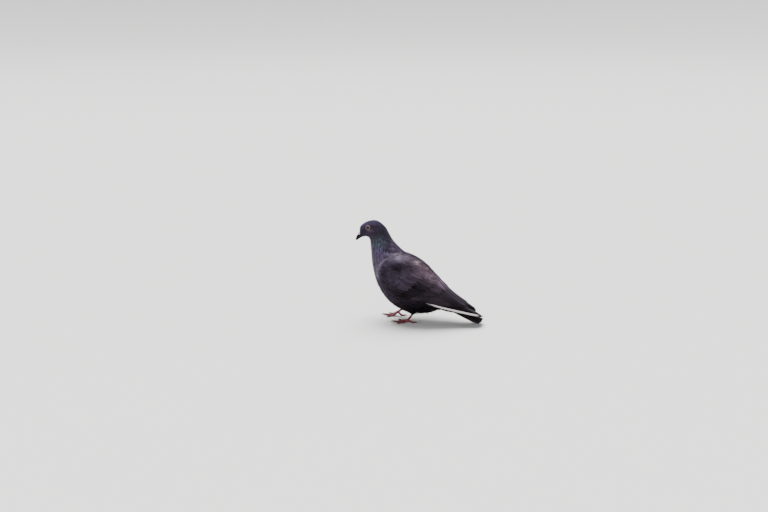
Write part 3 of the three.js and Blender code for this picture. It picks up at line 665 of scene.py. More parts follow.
# %% Barbs: slanting lines on both sides of a shaft
BARBS, given, result = effect("barbs", {"Vane": "Vector", "Spacing": "Float"},
                              {"Line": "Float", "Shaft": "Float", "Height": "Float"})
across, along, _ = split(BARBS, given["Vane"])
away = calc(BARBS, "ABSOLUTE", across)
run = calc(BARBS, "SUBTRACT", calc(BARBS, "MULTIPLY", along, 0.7), away)
run = calc(BARBS, "ADD", run, calc(BARBS, "MULTIPLY", noise(BARBS, given["Vane"], 0.6), 1.6))
wave = calc(BARBS, "SINE", calc(BARBS, "MULTIPLY", calc(BARBS, "DIVIDE", run, given["Spacing"]), TURN))
line = calc(BARBS, "MULTIPLY_ADD", wave, 0.5, 0.5)
shaft = eased(BARBS, away, 0.0, 0.55, 1.0, 0.0)
feed(BARBS, result, Line=line, Shaft=shaft, Height=calc(BARBS, "ADD", line, shaft))
print("nodes of the barbs:", len(BARBS.nodes))

# %% Mottle: two sizes of soft noise on the object's own coordinates
MOTTLE, given, result = effect("mottle", {"Size": "Float", "Strength": "Float"}, {"Tone": "Float"})
place, scale = own_place(MOTTLE), calc(MOTTLE, "DIVIDE", 1.0, given["Size"])
wide = calc(MOTTLE, "MULTIPLY", noise(MOTTLE, place, scale, 3.0, Roughness=0.55), 0.6)
fine = noise(MOTTLE, place, calc(MOTTLE, "MULTIPLY", scale, 5.0))
both = calc(MOTTLE, "SUBTRACT", calc(MOTTLE, "MULTIPLY_ADD", fine, 0.4, wide), 0.5)
feed(MOTTLE, result, Tone=calc(MOTTLE, "MULTIPLY_ADD", both, given["Strength"], 1.0))
print("nodes of the mottle:", len(MOTTLE.nodes))


# %% Plumage
def plumage(name, spacing, roughness, shine, relief, shaft_dark=0.25, tip_pale=0.0, vary=0.3, gleam=0.04,
            sheen=0.0):
    """The feather's painted colour, varied from feather to feather and along its barbs. The neck's gloss
    lowers the roughness where the feathers note it."""
    made, tree, shader = material(name)
    vane, share = attribute(tree, "vane"), split(tree, attribute(tree, "share"))
    barb = use(tree, BARBS, Vane=vane, Spacing=spacing)
    tone = use(tree, MOTTLE, Size=0.012, Strength=0.5)["Tone"]
    for value, gain, start in ((split(tree, vane)[2], vary, 1 - vary / 2), (barb["Line"], 0.16, 0.92),
                               (barb["Shaft"], -shaft_dark, 1.0),
                               (eased(tree, share[1], 0.82, 1.0, 0.0, 1.0), tip_pale, 1.0)):
        tone = calc(tree, "MULTIPLY", tone, calc(tree, "MULTIPLY_ADD", value, gain, start))
    dull = calc(tree, "MULTIPLY_ADD", share[2], shine - roughness, roughness)
    feed(tree, shader, Base_Color=times(tree, attribute(tree, "plume", "Color"), tone),
         Roughness=calc(tree, "MULTIPLY_ADD", barb["Line"], 0.06, dull),
         Normal=embossed(tree, barb["Height"], relief, 0.6), Specular_IOR_Level=gleam, Sheen_Weight=sheen,
         Sheen_Tint=(0.6, 0.5, 0.8, 1))
    return made


DOWN = plumage("body_plumage", 0.55, 0.6, 0.4, 0.05, tip_pale=0.15, vary=0.5)
FINE_DOWN = plumage("head_plumage", 0.4, 0.58, 0.3, 0.03, shaft_dark=0.05, gleam=0.06, sheen=0.04)
NECK_GLOSS = plumage("neck_plumage", 0.45, 0.56, 0.3, 0.03, shaft_dark=0.08, vary=0.28, gleam=0.09,
                     sheen=0.06)
COVERT = plumage("covert_plumage", 0.5, 0.58, 0.45, 0.05, tip_pale=0.34, vary=0.75)
QUILL = plumage("quill_plumage", 0.6, 0.52, 0.45, 0.06, shaft_dark=0.4, vary=0.45)
print("nodes of the quills' finish:", len(QUILL.node_tree.nodes))


# %% Skin, horn, legs and eyes
def bare_plumage():
    """The down close to the skin: the same markings, darker, as in the shade between feathers."""
    made, tree, shader = material("under_plumage")
    tone = calc(tree, "MULTIPLY", use(tree, MOTTLE, Size=0.003, Strength=0.9)["Tone"], 0.6)
    feed(tree, shader, Base_Color=times(tree, attribute(tree, "plume", "Color"), tone),
         Normal=embossed(tree, noise(tree, own_place(tree), 1400.0, 3.0), 0.4, 0.7), Roughness=0.85,
         Specular_IOR_Level=0.05)
    return made


def skin_like(name, colour, other, size, relief, roughness, grain=900.0, gleam=0.3):
    """Bare skin or horn: two colours mixed by a mottle, with a fine grain in relief."""
    made, tree, shader = material(name)
    share = calc(tree, "SUBTRACT", use(tree, MOTTLE, Size=size, Strength=1.6)["Tone"], 0.5)
    fine = noise(tree, own_place(tree), grain, 4.0)
    feed(tree, shader, Base_Color=blend(tree, share, linear(*colour), linear(*other)),
         Normal=embossed(tree, fine, relief, 0.6), Specular_IOR_Level=gleam,
         Roughness=calc(tree, "MULTIPLY_ADD", fine, 0.2, roughness - 0.1))
    return made


# %% Finishes of feet and eyes
def scaled_skin():
    """The red skin of the feet. Its grooves, noted by the mesh, are paler and dusty."""
    made, tree, shader = material("leg_skin")
    share = calc(tree, "SUBTRACT", use(tree, MOTTLE, Size=0.003, Strength=1.4)["Tone"], 0.5)
    red = blend(tree, share, linear(74, 14, 25), linear(110, 38, 46))
    groove = split(tree, attribute(tree, "scute"))[0]
    cells = add(tree, "TexVoronoi", Vector=own_place(tree), Scale=1100.0).outputs[0]
    feed(tree, shader, Base_Color=blend(tree, groove, red, linear(116, 72, 74)),
         Normal=embossed(tree, cells, 0.12, 0.5), Roughness=0.5)
    return made


def eye_glass():
    """The eye: a dark pupil, a ring of orange with fine streaks from the centre, and a dark rim, by the
    angle from where it looks, under a clear wet coat."""
    made, tree, shader = material("eye")
    gaze = attribute(tree, "gaze")
    streak = noise(tree, gaze, 9.0, 4.0)
    angle = calc(tree, "ADD", split(tree, gaze)[0], calc(tree, "MULTIPLY_ADD", streak, 0.05, -0.025))
    ramp = add(tree, "ValToRGB", _0=angle)
    stops = ramp.color_ramp.elements
    for at, colour in [(0.27, (3, 3, 4)), (0.29, (46, 24, 12)), (0.36, (78, 48, 24)), (0.43, (44, 24, 13)),
                       (0.49, (10, 7, 8))]:
        stops.new(at).color = (*linear(*colour), 1)
    stops[0].color = (*linear(6, 5, 6), 1)
    stops[-1].color = (*linear(20, 14, 14), 1)
    tone = calc(tree, "MULTIPLY_ADD", streak, 0.9, 0.6)
    feed(tree, shader, Base_Color=times(tree, ramp.outputs[0], tone), Roughness=0.3, Specular_IOR_Level=0.1,
         Coat_Weight=0.35, Coat_Roughness=0.03)
    return made

# %% All finishes of the bare parts
UNDER = bare_plumage()
LID_SKIN = skin_like("eyelid_skin", (74, 65, 73), (114, 103, 111), 0.0012, 0.1, 0.65, gleam=0.12)
CERE_WHITE = skin_like("cere_skin", (198, 193, 194), (150, 142, 147), 0.0012, 0.3, 0.8, 1300.0, 0.15)
BILL_HORN = skin_like("bill_horn", (10, 8, 14), (22, 18, 27), 0.004, 0.05, 0.48, gleam=0.07)
CLAW_HORN = skin_like("claw_horn", (18, 15, 16), (36, 31, 30), 0.003, 0.05, 0.4)
SCALED_SKIN = scaled_skin()
EYE_GLASS = eye_glass()
print("materials:", len(bpy.data.materials))

# %% [markdown]
# ## One skin
# Under the feathers a bird is one body. The skin starts as overlapping closed forms, each a little inside
# the solids: the body's rings, a plate in each wing, the tail's root and the thighs. Blender's voxel
# remesh fuses them into one closed surface, so no seam shows where two nodes meet.


# %% Closed forms for the remesh
def loft_faces(rings, around):
    """Quads between rings, and at each end a fan of triangles to its middle point."""
    grid = np.arange(rings * around).reshape(rings, around)
    nxt = np.roll(grid, -1, axis=1)
    sides = join(grid[:-1], nxt[:-1], nxt[1:], grid[1:]).reshape(-1, 4)
    first, last = rings * around, rings * around + 1
    ends = [join(np.full(around, m), b, a) for m, a, b in
            ((first, grid[0], nxt[0]), (last, nxt[-1], grid[-1]))]
    return [tuple(q) for q in sides.tolist()] + [tuple(t) for e in ends for t in e.tolist()]


def loft(rings):
    """A closed form through rings of points, with its ends closed at their middles."""
    points = np.vstack([rings.reshape(-1, 3), rings[0].mean(0), rings[-1].mean(0)])
    return points, loft_faces(rings.shape[0], rings.shape[1])


def plate(outer, inner):
    """A closed plate: each row of the outer face goes on round the rim into the row of the inner face."""
    return loft(np.concatenate([outer, inner[:, ::-1]], 1))


def tube(points, radii, rings=24, around=20, flat=1.0):
    """Circles along a smooth line, across its own direction, with a radius that changes smoothly. Below 1,
    flat squeezes them sideways."""
    share = np.linspace(0, 1, rings)
    line = curve(points, share)
    radius = smooth_line(radii, share)[:, None, None]
    ahead = unit(np.gradient(line, axis=0))
    across = unit(join(-ahead[:, 1], ahead[:, 0], 0 * share) + [0, 1e-9, 0])
    up = np.cross(ahead, across)
    angle = np.linspace(0, TURN, around, endpoint=False)[None, :, None]
    return line[:, None] + radius * (np.cos(angle) * across[:, None] * flat + np.sin(angle) * up[:, None])


# %% The remesh
def fused(name, forms, voxel, rounds=2):
    """One closed mesh in mm from overlapping closed forms, by voxel remesh and a little smoothing."""
    points, faces, start = [], [], 0
    for p, f in forms:
        points.append(p)
        faces += [tuple(i + start for i in face) for face in f]
        start += len(p)
    mesh = mesh_of_form(name, (np.vstack(points), faces), np.asarray, False)
    made = placed(name, mesh)
    remesh = made.modifiers.new("fuse", "REMESH")
    remesh.mode, remesh.voxel_size = "VOXEL", voxel
    even = made.modifiers.new("even", "SMOOTH")
    even.factor, even.iterations = 0.5, rounds
    done = bpy.data.meshes.new_from_object(made.evaluated_get(bpy.context.evaluated_depsgraph_get()))
    bpy.data.objects.remove(made)
    bpy.data.meshes.remove(mesh)
    co = np.empty(len(done.vertices) * 3, np.float32)
    done.vertices.foreach_get("co", co)
    corners = np.empty(len(done.loops), np.int32)
    done.loops.foreach_get("vertex_index", corners)
    bpy.data.meshes.remove(done)
    return co.reshape(-1, 3).astype(float), corners.reshape(-1, 4)

# %% Legs' own numbers, as in the part
FEET = {
    "left": dict(side=-1, joint=(0, 20, 5.2), heel=(17.5, 20, 30), hip=(-8, 19, 50), bare=0.6, turn=6),
    "right": dict(side=1, joint=(-30.5, 19, 8.6), heel=(-7.5, 19, 27.5), hip=(-27, 19, 48), bare=0.47,
                  turn=-4),
}
TOES = [("outer", 34, 20, 2.1, 6.5), ("middle", 2, 27.5, 2.3, 7), ("inner", -33, 21, 2.0, 6.5),
        ("hind", 172, 13, 2.0, 6.5)]
SHANK, THIGH, THIGH_LEAST = 2.3, [6, 10, 8.6, 3.6], 2.6  # radii in mm, the thigh's from the hip down
SHANK_SCUTE, TOE_SCUTE, SCUTE_RISE = 1.9, 1.45, 0.42  # lengths and height in mm


def leg_points(foot):
    """The joint of the toes, the heel and the hip, on the foot's own side."""
    return [np.array(foot[k], float) * [1, foot["side"], 1] for k in ("joint", "heel", "hip")]


def thigh(foot):
    """The thigh's surface: along from the hip, 0, to where the shank comes bare, 1, and round in degrees."""
    joint, heel, hip = leg_points(foot)
    bare = mix(joint, heel, foot["bare"])
    line = [hip, mix(hip, bare, 0.5), bare]

    def face(along, around):
        along, around = np.broadcast_arrays(np.asarray(along, float), np.asarray(around, float))
        at = curve(line, along)
        radius = np.maximum(smooth_line(THIGH, along), THIGH_LEAST)
        ahead = unit(bare - hip)
        across = unit(np.array([-ahead[1], ahead[0], 0]) + [0, 1e-9, 0])
        up = np.cross(ahead, across)
        angle = np.radians(around)[..., None]
        return at + radius[..., None] * (np.cos(angle) * across + np.sin(angle) * up)
    return face


THIGHS = {name: raised(thigh(foot), -1, (0.01, 1.0)) for name, foot in FEET.items()}
print("toes of a foot:", *(toe[0] for toe in TOES))


# %% The coat's depth and the skin
def depth(rib):
    """How far the skin lies under the feathers' tips, in mm: thin on the face, deep on the belly."""
    return np.interp(rib, [0, 3, 5, 7, 9, 11], [2.6, 2.6, 2.2, 1.5, 1.1, 0.7])


def wing_core(side):
    """A plate under the wing's face: it lies deeper and gets thinner from the wrist to the tip."""
    along = np.linspace(-0.04, 0.9, 44)[:, None]
    share = np.linspace(0, 1, 24)[None]
    under = mix(1.7, 4.4, smooth(along, 0.25, 0.6))
    thick = mix(13, 1.8, smooth(along, 0.35, 0.8)) * np.sin(math.pi * mix(0.08, 0.92, share)) ** 0.6
    down = mix(0.04, 0.95, share) + 0 * along
    outer = WINGS[side](along + 0 * share, down, -under + 0 * share)[0]
    inner = WINGS[side](along + 0 * share, down, -under - np.maximum(1.6, thick))[0]
    return plate(outer, inner)

# %% All forms as one skin
rib, around = round_grid(0, LAST_RIB, 120, 72, 360)
trunk = loft(BODY(rib, around, -depth(rib))[0])
share, angle = round_grid(0, 0.5, 24, 32)
high = mix(11.5, 1.0, smooth(share, 0, 0.5)) * np.cos(angle) - 2 * share
tail_core = loft(tail(TAIL_LENGTH * share, mix(13.5, 10, 2 * share) * np.sin(angle), high))
along, around = round_grid(0, 0.97, 20, 24, 360)
thighs = [loft(face(along, around, -1.2 + 0 * along)[0]) for face in THIGHS.values()]
along, angle = round_grid(0.12, 0.62, 30, 32)
x, y, z = np.moveaxis(curve(WING_TOP, along), -1, 0)
ridge = loft(join(x, (y + 3) * np.sin(angle), z - 6.5 + 5 * np.cos(angle)))
SKIN_POINTS, SKIN_FACES = fused("skin", [trunk, wing_core(-1), wing_core(1), tail_core, ridge, *thighs], 1.3)
print("skin points:", len(SKIN_POINTS))

# %% [markdown]
# ## Eyes and lids
# A pigeon's eye is a ball that sits deep in the head, so only a cap of it shows, held by a narrow ring of
# bare, slightly folded skin. The ring is built round the same axis as the eye.

# %% Where each eye sits
EYE_RIB, EYE_AROUND, EYE_RADIUS, EYE_PROUD = 8.72, 78, 5.3, 1.5
FRONT_BULGE, LID_RING, LID_THICK = 0.22, 4.05, 0.62  # in mm


def eye_axis(side):
    """The eye's centre, the way it looks, and two directions across that, from the body's own slopes."""
    at = body(EYE_RIB, EYE_AROUND * side)
    out = unit(np.cross(body(EYE_RIB, (EYE_AROUND + 1) * side) - at,
                        body(EYE_RIB + RIB_STEP, EYE_AROUND * side) - at))
    out = out if out[1] * side > 0 else -out
    level = unit(np.cross([0, 0, 1], out)) * side
    return at + out * (EYE_PROUD - EYE_RADIUS), out, level, np.cross(out, level) * side


EYES = {side: eye_axis(side) for side in (-1, 1)}
print("centre of the left eye, mm:", EYES[-1][0].round(1))


# %% The balls of the eyes
def eye_ball(side):
    """A ball in rings round the way it looks, whose front bulges a little, and for each point the angle from
    that way in quarter turns and its cosine and sine round it."""
    centre, out, level, up = EYES[side]
    from_axis, turn = round_grid(0.015, math.pi - 0.015, 48, 48)
    radius = EYE_RADIUS + FRONT_BULGE * fade(from_axis, 0.2, 0.75) - 0.02
    ring = np.cos(turn)[..., None] * level + np.sin(turn)[..., None] * up
    way = np.cos(from_axis)[..., None] * out + np.sin(from_axis)[..., None] * ring
    gaze = join(from_axis / (math.pi / 2), np.cos(turn), np.sin(turn)).reshape(-1, 3)
    return loft(centre + radius[..., None] * way), np.vstack([gaze, [0, 0, 0], [2, 0, 0]])


for side, name in ((-1, "left_eye"), (1, "right_eye")):
    form, gaze = eye_ball(side)
    mesh = mesh_of_form(name + "_ball", form)
    note(mesh, "gaze", gaze)
    piece(name + "_ball", mesh, [EYE_GLASS], [name])


# %% Lids as a folded ring
def lid_ring(side):
    """A ring round the eye: each cross-section is a flat oval with two small folds, and the ring is drawn
    out a little to the front and back corners."""
    centre, out, level, up = EYES[side]
    turn, cross = (np.linspace(0, TURN, n, endpoint=False) for n in (72, 20))
    turn, cross = np.meshgrid(turn, cross, indexing="ij")
    corner = np.cos(turn) ** 8
    ring = LID_RING + 0.35 * corner + 0.06 * np.sin(turn)
    thick = LID_THICK + 0.1 * np.sin(turn) + 0.07 * np.cos(3 * cross) * np.sin(cross)
    arm = np.cos(turn)[..., None] * level + np.sin(turn)[..., None] * up
    lift = EYE_RADIUS - EYE_PROUD - 0.25 + 0.3 * np.sin(turn)
    radial = ring + 1.15 * thick * np.cos(cross) + 0.02 * np.sin(turn * 36)
    height = lift + thick * np.sin(cross) - 0.45 * smooth(np.cos(cross), 0, 1)
    rings = centre + radial[..., None] * arm + height[..., None] * out
    grid = np.arange(turn.size).reshape(turn.shape)
    a, b = np.roll(grid, -1, 0), np.roll(grid, -1, 1)
    faces = join(grid, a, np.roll(a, -1, 1), b).reshape(-1, 4)
    return rings.reshape(-1, 3), faces if side < 0 else faces[:, ::-1]

# %% Skin and lids as one piece
lids = [lid_ring(side) for side in (-1, 1)]
points, faces = SKIN_POINTS, [SKIN_FACES]
for p, f in lids:
    faces.append(f + len(points))
    points = np.vstack([points, p])
skin_mesh = mesh_of("skin", points, np.vstack(faces))
paint(skin_mesh, markings(points))
which = np.r_[np.zeros(len(SKIN_FACES), np.int32), np.ones(sum(len(f) for _, f in lids), np.int32)]
skin_mesh.polygons.foreach_set("material_index", which)
piece("skin", skin_mesh, [UNDER, LID_SKIN],
      ["head", "neck", "torso", "left_wing", "right_wing", "tail", "left_thigh", "right_thigh"])

# %% [markdown]
# ## Bill and cere
# The bill is horn in two halves that meet along the mouth. Each half is a flat face along the mouth with a
# half ellipse over it. The cere is the white, powdery swelling over the nostrils: two lobes that are
# fused, with a groove between them.

# %% The two halves of the bill
RIDGE = [[-95, 180], [-100.5, 178.5], [-105.9, 175.4], [-109.5, 170.2], [-111.5, 164.9], [-111.9, 160.4]]
MOUTH = [[-91.5, 172], [-96.5, 171.2], [-101.5, 169.8], [-105.9, 166.4], [-109.5, 162.8], [-111.6, 160.0]]
JAW = [[-91.5, 170.5], [-96.5, 168.3], [-101.3, 166.3], [-105.3, 163.3], [-108.6, 161.0], [-110.7, 160.0]]
BILL_HALF = [3.4, 3.9, 3.4, 2.8, 2.0, 0.5]
NOSTRIL, NOSTRIL_SLOPE = np.array([-105.9, 2.9, 170.9]), 48


def bill_half(edge, shift, round_out):
    """Rings from inside the face to the tip. Over the mouth's line each ring rises by the cosine and
    spreads by the sine of an angle from -90 to 90 degrees; its flat side closes along the mouth."""
    share = np.linspace(0, 1, 48)
    mouth, rim = (np.insert(curve(line, share), 1, 0, 1) for line in (MOUTH, edge))
    reach = rim - mouth
    high = np.maximum(norm(reach), 0.4)
    away = unit(reach)
    wide = np.maximum(smooth_line(BILL_HALF, share), 0.35)
    angle = np.linspace(-math.pi / 2, math.pi / 2, 33)
    rise = (high - shift)[:, None] * np.cos(angle)[None] ** round_out
    points = (mouth + away * shift)[:, None] + rise[..., None] * away[:, None]
    points[..., 1] += wide[:, None] * np.sin(angle)[None]
    return points


# %% Nostrils, and both halves
def dented(points):
    """Each nostril is a slit: a dent along a short slanting line."""
    slope = math.radians(NOSTRIL_SLOPE)
    slant = np.array([-math.cos(slope), 0, -math.sin(slope)])
    p = points.copy()
    offset = (points - NOSTRIL) * [1, 0, 1]
    run = (offset * slant).sum(-1)
    across = np.sqrt(np.maximum((offset**2).sum(-1) - run**2, 0))
    near = np.exp(-((run / 1.3) ** 2) - (across / 0.5) ** 2) * (np.abs(points[..., 1]) > 1.2)
    p[..., 1] -= np.sign(p[..., 1]) * 0.9 * near
    return p


for name, node, edge, shift, power in (("upper_bill_horn", "upper_bill", RIDGE, 0.02, 0.85),
                                       ("lower_bill_horn", "lower_bill", JAW, 0.06, 0.8)):
    rings = bill_half(edge, shift, power)
    rings = dented(rings) if node == "upper_bill" else rings
    piece(name, mesh_of_form(name, loft(turned(rings)), smooth_shade=False), [BILL_HORN], [node])

# %% The cere
CERE_CENTRE, CERE_SIZE, CERE_PITCH = np.array([-103.6, 1.8, 175.8]), (4.9, 2.1, 2.4), 35
PITCH_COS, PITCH_SIN = (f(math.radians(CERE_PITCH)) for f in (math.cos, math.sin))
CERE_LINE = turned(np.array([(CERE_CENTRE + t * np.array([PITCH_COS, 0, PITCH_SIN])) * [1, side, 1]
                             for side in (-1, 1) for t in (-3.4, 0, 3.4)]))


def lobe(side):
    """A swollen almond: a ball stretched along its slope, fuller behind than in front."""
    turn, angle = round_grid(0.02, math.pi - 0.02, 32, 32)
    fuller = 1 + 0.12 * np.cos(turn)
    x, y, z = (CERE_SIZE[0] * np.cos(turn), CERE_SIZE[1] * np.sin(turn) * np.cos(angle) * fuller,
               CERE_SIZE[2] * np.sin(turn) * np.sin(angle) * fuller)
    tipped = join(PITCH_COS * x - PITCH_SIN * z, y, PITCH_SIN * x + PITCH_COS * z)
    return loft(turned(tipped + CERE_CENTRE * [1, side, 1]))


lobes = mesh_of("cere_lobes", *fused("cere", [lobe(-1), lobe(1)], 0.22, 3))
piece("cere_lobes", lobes, [CERE_WHITE], ["cere"])

# %% [markdown]
# ## Legs, scutes and claws
# Toes, knuckle and shank are one red skin with rows of scutes, so they are tubes that the remesh fuses.
# Then every point asks for its nearest bone: how far along it lies gives the scutes, which step up and
# drop like roof tiles on the upper side.


# %% Bones of a foot
def toe_lines(foot):
    """For each toe its joint, bend, end and a point past it, then its direction, radius and claw's length."""
    joint = leg_points(foot)[0]
    lines = {}
    for name, turn, length, radius, claw in TOES:
        angle = math.radians(turn + foot["turn"]) * foot["side"]
        ahead = np.array([-math.cos(angle), math.sin(angle), 0])
        end = joint + ahead * length
        end[2] = radius * 0.6
        bend = mix(joint, end, 0.5)
        bend[2] = mix(joint[2], end[2], 0.85) + 0.2
        lines[name] = (joint, bend, end, end + ahead * 1.5, ahead, radius, claw)
    return lines


print("ends of the left toes, mm:", *(t[2].round(1) for t in toe_lines(FEET["left"]).values()))


# %% A foot of tubes
def foot_forms(foot):
    """Tubes for the toes, with a swelling at each knuckle, and for the shank, and a ball where they meet."""
    joint, heel, _ = leg_points(foot)
    forms = []
    for *line, _, radius, _ in toe_lines(foot).values():
        rings = tube(line, [radius * r for r in (1.08, 1.0, 0.8, 0.72)], 40, 20)
        share = np.linspace(0, 1, 40)
        swell = (1 + 0.1 * np.cos(TURN * share * 3.2)) * np.sqrt(1 - 0.9 * smooth(share, 0.93, 1.06) ** 2)
        middle = rings.mean(1, keepdims=True)
        forms.append(loft(middle + (rings - middle) * swell[:, None, None]))
    at = lambda share: mix(joint, heel, share)
    top = foot["bare"] + 0.1
    shank = tube([at(0), at(top / 2), at(top)], [SHANK * r for r in (1.05, 0.9, 1.0)], 40, 24, flat=0.92)
    turn, angle = round_grid(0.05, math.pi - 0.05, 16, 24)
    ball = join(np.sin(turn) * np.cos(angle), np.sin(turn) * np.sin(angle), np.cos(turn))
    return [*forms, loft(shank), loft(joint + SHANK * 1.25 * ball)]


# %% Scutes by the nearest bone
def bone_places(points, lines):
    """For each point its nearest line of two ends: how far along it the point lies in mm, the way out of it,
    and which line it is."""
    places = []
    for a, b in lines:
        along = np.clip(((points - a) @ (b - a)) / ((b - a) ** 2).sum(), 0, 1)
        off = points - (a + along[:, None] * (b - a))
        places.append((norm(off), along * np.linalg.norm(b - a), unit(off)))
    nearest = np.stack([p[0] for p in places]).argmin(0)
    pick = lambda k: np.stack([p[k] for p in places])[nearest, np.arange(len(points))]
    return pick(1), pick(2), nearest


def scuted(foot, points):
    """Scutes: each rises from its upper edge to its lower and then drops. It returns the moved points and
    how deep in a groove each lies."""
    joint, heel, _ = leg_points(foot)
    lines = [(joint, heel)] + [(t[0], t[2]) for t in toe_lines(foot).values()]
    run, out, nearest = bone_places(points, lines)
    front = np.where(nearest == 0, out @ unit(np.array([-1.0, 0, 0.4])), out[:, 2])
    upper = smooth(front, -0.1, 0.35)
    size = np.where(nearest == 0, SHANK_SCUTE, TOE_SCUTE)
    tile = (run / size) % 1
    groove = np.exp(-(((tile - 0.5) / 0.5) ** 2 - 1) ** 2 * 60) * upper
    height = (tile**0.7 - 0.5) * SCUTE_RISE * upper * smooth(run, 1.5, 4.5)
    moved = points + out * height[:, None]
    moved[:, 2] = np.maximum(moved[:, 2], 0.0)
    return moved, groove

# %% Both legs and their claws
for name, foot in FEET.items():
    p, faces = fused(name + "_leg", foot_forms(foot), 0.34, 1)
    p, groove = scuted(foot, p)
    mesh = mesh_of(name + "_leg_skin", p, faces)
    note(mesh, "scute", np.c_[groove, groove, groove])
    piece(name + "_leg_skin", mesh, [SCALED_SKIN], [name + "_foot", name + "_shank"])
    for toe, (_, _, end, _, ahead, radius, reach) in toe_lines(foot).items():
        tip = end + ahead * reach
        tip[2] = 0.12
        arch = end + ahead * reach * 0.45
        arch[2] = end[2] + 1.1
        rings = tube([end - ahead * 1.5, arch, tip], [radius * r for r in (0.62, 0.5, 0.1)], 26, 16, flat=0.8)
        rings[..., 2] = np.maximum(rings[..., 2], 0.0)
        claw = f"{name}_{toe}_claw"
        piece(claw + "_horn", mesh_of_form(claw + "_horn", loft(rings)), [CLAW_HORN], [claw])

# %% [markdown]
# ## The coat of the body
# Feathers get their size from where they grow: under two millimetres apart on the face, nearly five on the
# belly. All of them lie towards the tail. Those that would cover an eye or lie hidden under a folded wing
# are left out.


# %% Sizes of the body's feathers
def body_spacing(rib, around):
    return np.interp(rib, [0, 3, 4.4, 5.5, 6.6, 8, 10, 11], [4.4, 3.7, 2.6, 1.75, 1.35, 1.05, 0.85, 0.75])


# %% Where a feather may grow
def under_wing(points):
    """True where a point lies inside a folded wing's face, well away from its edges."""
    along, down = np.meshgrid(np.linspace(0.03, 0.95, 40), np.linspace(0.05, 0.9, 16), indexing="ij")
    hidden = np.zeros(len(points), bool)
    for side in (-1, 1):
        grid, normal = WINGS[side](along, down, np.full(along.shape, -3.0))
        grid, normal = grid.reshape(-1, 3), normal.reshape(-1, 3)
        for part in np.array_split(np.arange(len(points)), 20):
            off = points[part][:, None] - grid[None]
            high = (off * normal[None]).sum(-1)
            apart = norm(off - high[..., None] * normal[None])
            hidden[part] |= ((apart < 3.2) & (high < 0) & (high > -40)).any(1)
    return hidden


EYE_ROOM, CERE_ROOM = 6.0, 2.3  # how far roots stay from an eye's centre and from the cere's line, in mm


def from_nearest(points, places):
    """The distance from each point to the nearest of the places."""
    return np.min([norm(points - at) for at in places], axis=0)


def from_eyes(points):
    return from_nearest(points, [eye[0] for eye in EYES.values()])


def grows(points):
    """True where a root may be: clear of the eyes and of the cere, and not under a folded wing."""
    clear = (from_eyes(points) > EYE_ROOM) & (from_nearest(points, CERE_LINE) > CERE_ROOM)
    return clear & ~under_wing(points)

# %% Pleats and borders
WAVE = 0.3  # how far the border between two pieces of the coat wanders, in ribs
WIDER = ([3.4, 5.2, 7, 8], [1.12, 0.85, 0.85, 0.8])  # ribs, and half widths in spacings
LONGER = ([3.4, 5.2, 6.9, 8], [4.1, 4.7, 4.2, 3.6])  # ribs, and lengths in spacings


def furrows(rib, around):
    """Pleats of the neck, -1 to 1: sines that run across its rear side and along its front."""
    a = np.abs(around)
    rear = np.sin(TURN * (rib - 0.0275 * a) / 0.52) * smooth(a, 12, 30) * fade(a, 62, 82)
    front = np.sin(TURN * (a / 17 + 0.3 * rib)) * smooth(a, 74, 92) * fade(a, 150, 170)
    return (rear + front) * smooth(rib, 4.2, 4.8) * fade(rib, 6.4, 7.2)


def border(rib, around):
    """A rib that wanders round the body by two sines, so that no straight row shows where pieces meet."""
    a = np.radians(around)
    return rib + WAVE * (0.6 * np.sin(9 * a + rib) + 0.4 * np.sin(23 * a + 2 * rib))


print("deepest pleat:", round(float(furrows(5.5, np.arange(180)).min()), 2))


# %% Feathers between two ribs
def body_feathers(low, high, tries, seed, shape, size, curl, **options):
    """Feathers between two ribs. Their length and half width are so many times their distance apart, and
    the neck's pleats lift or sink them. Those whose middle or tip would reach an eye are left out."""
    def inside(points, places):
        rib, around = places.T
        above = rib > border(low, around) if low > 1 else rib > low
        below = rib < border(high, around) if high < LAST_RIB else rib < high
        return above & below & grows(points)
    wide = (max(low - WAVE, 0.02), min(high + WAVE, LAST_RIB))
    roots = spread(body, (wide[0], -180), (wide[1], 180), body_spacing, tries, seed, inside)
    rng = dice(seed + 50)
    apart = body_spacing(*roots.T)
    length = apart * np.interp(roots[:, 0], *LONGER) * rng.uniform(0.88, 1.15, len(roots))
    half = apart * np.interp(roots[:, 0], *WIDER) * rng.uniform(0.9, 1.1, len(roots))
    rib, around = roots.T
    slope = norm(body(rib - RIB_STEP, around) - body(rib, around))
    clear = np.all([from_eyes(body(rib - RIB_STEP * length * k / slope, around)) > EYE_ROOM + 0.05
                    for k in (0.5, 1.0)], axis=0)
    roots, length, half = roots[clear], length[clear], half[clear]
    rib, around = roots.T
    deep = depth(rib) * mix(1.0, 0.55, smooth(rib, 3.5, 6.0))
    curl = curl * rng.uniform(0, 1, len(roots)) * apart[clear]
    pleat = furrows(rib, around)
    chin = 1.4 * smooth(np.abs(around), 120, 160) * smooth(rib, 8.0, 8.8) * fade(rib, 10.5, 11)
    made = lay(BODY, roots, length, half, (-1, 1, 10), (-deep - 0.25, 0.45 * pleat + chin - 0.2), shape, size,
               slant=rng.normal(0, 0.09, len(roots)), curl=curl, seed=seed, **options)
    made["spot"] = on_map(roots / [LAST_RIB, 360] + [0, 0.5])
    # the pleats' depth, also used to paint shade and light on the neck's colours
    made["pleat"] = pleat
    made["gloss"] = smooth(rib, 3.8, 5.2) * fade(rib, 6.5, 8.0)
    return made


head = body_feathers(6.9, 11, 42000, 11, "narrow", (5, 4), thick=0.1, curl=0.02)
neck = body_feathers(4.7, 6.9, 26000, 12, "narrow", (6, 5), thick=0.13, curl=0.04, camber=0.04)
trunk_coat = body_feathers(0.02, 4.7, 18000, 13, "contour", (7, 5), thick=0.15, curl=0.05)

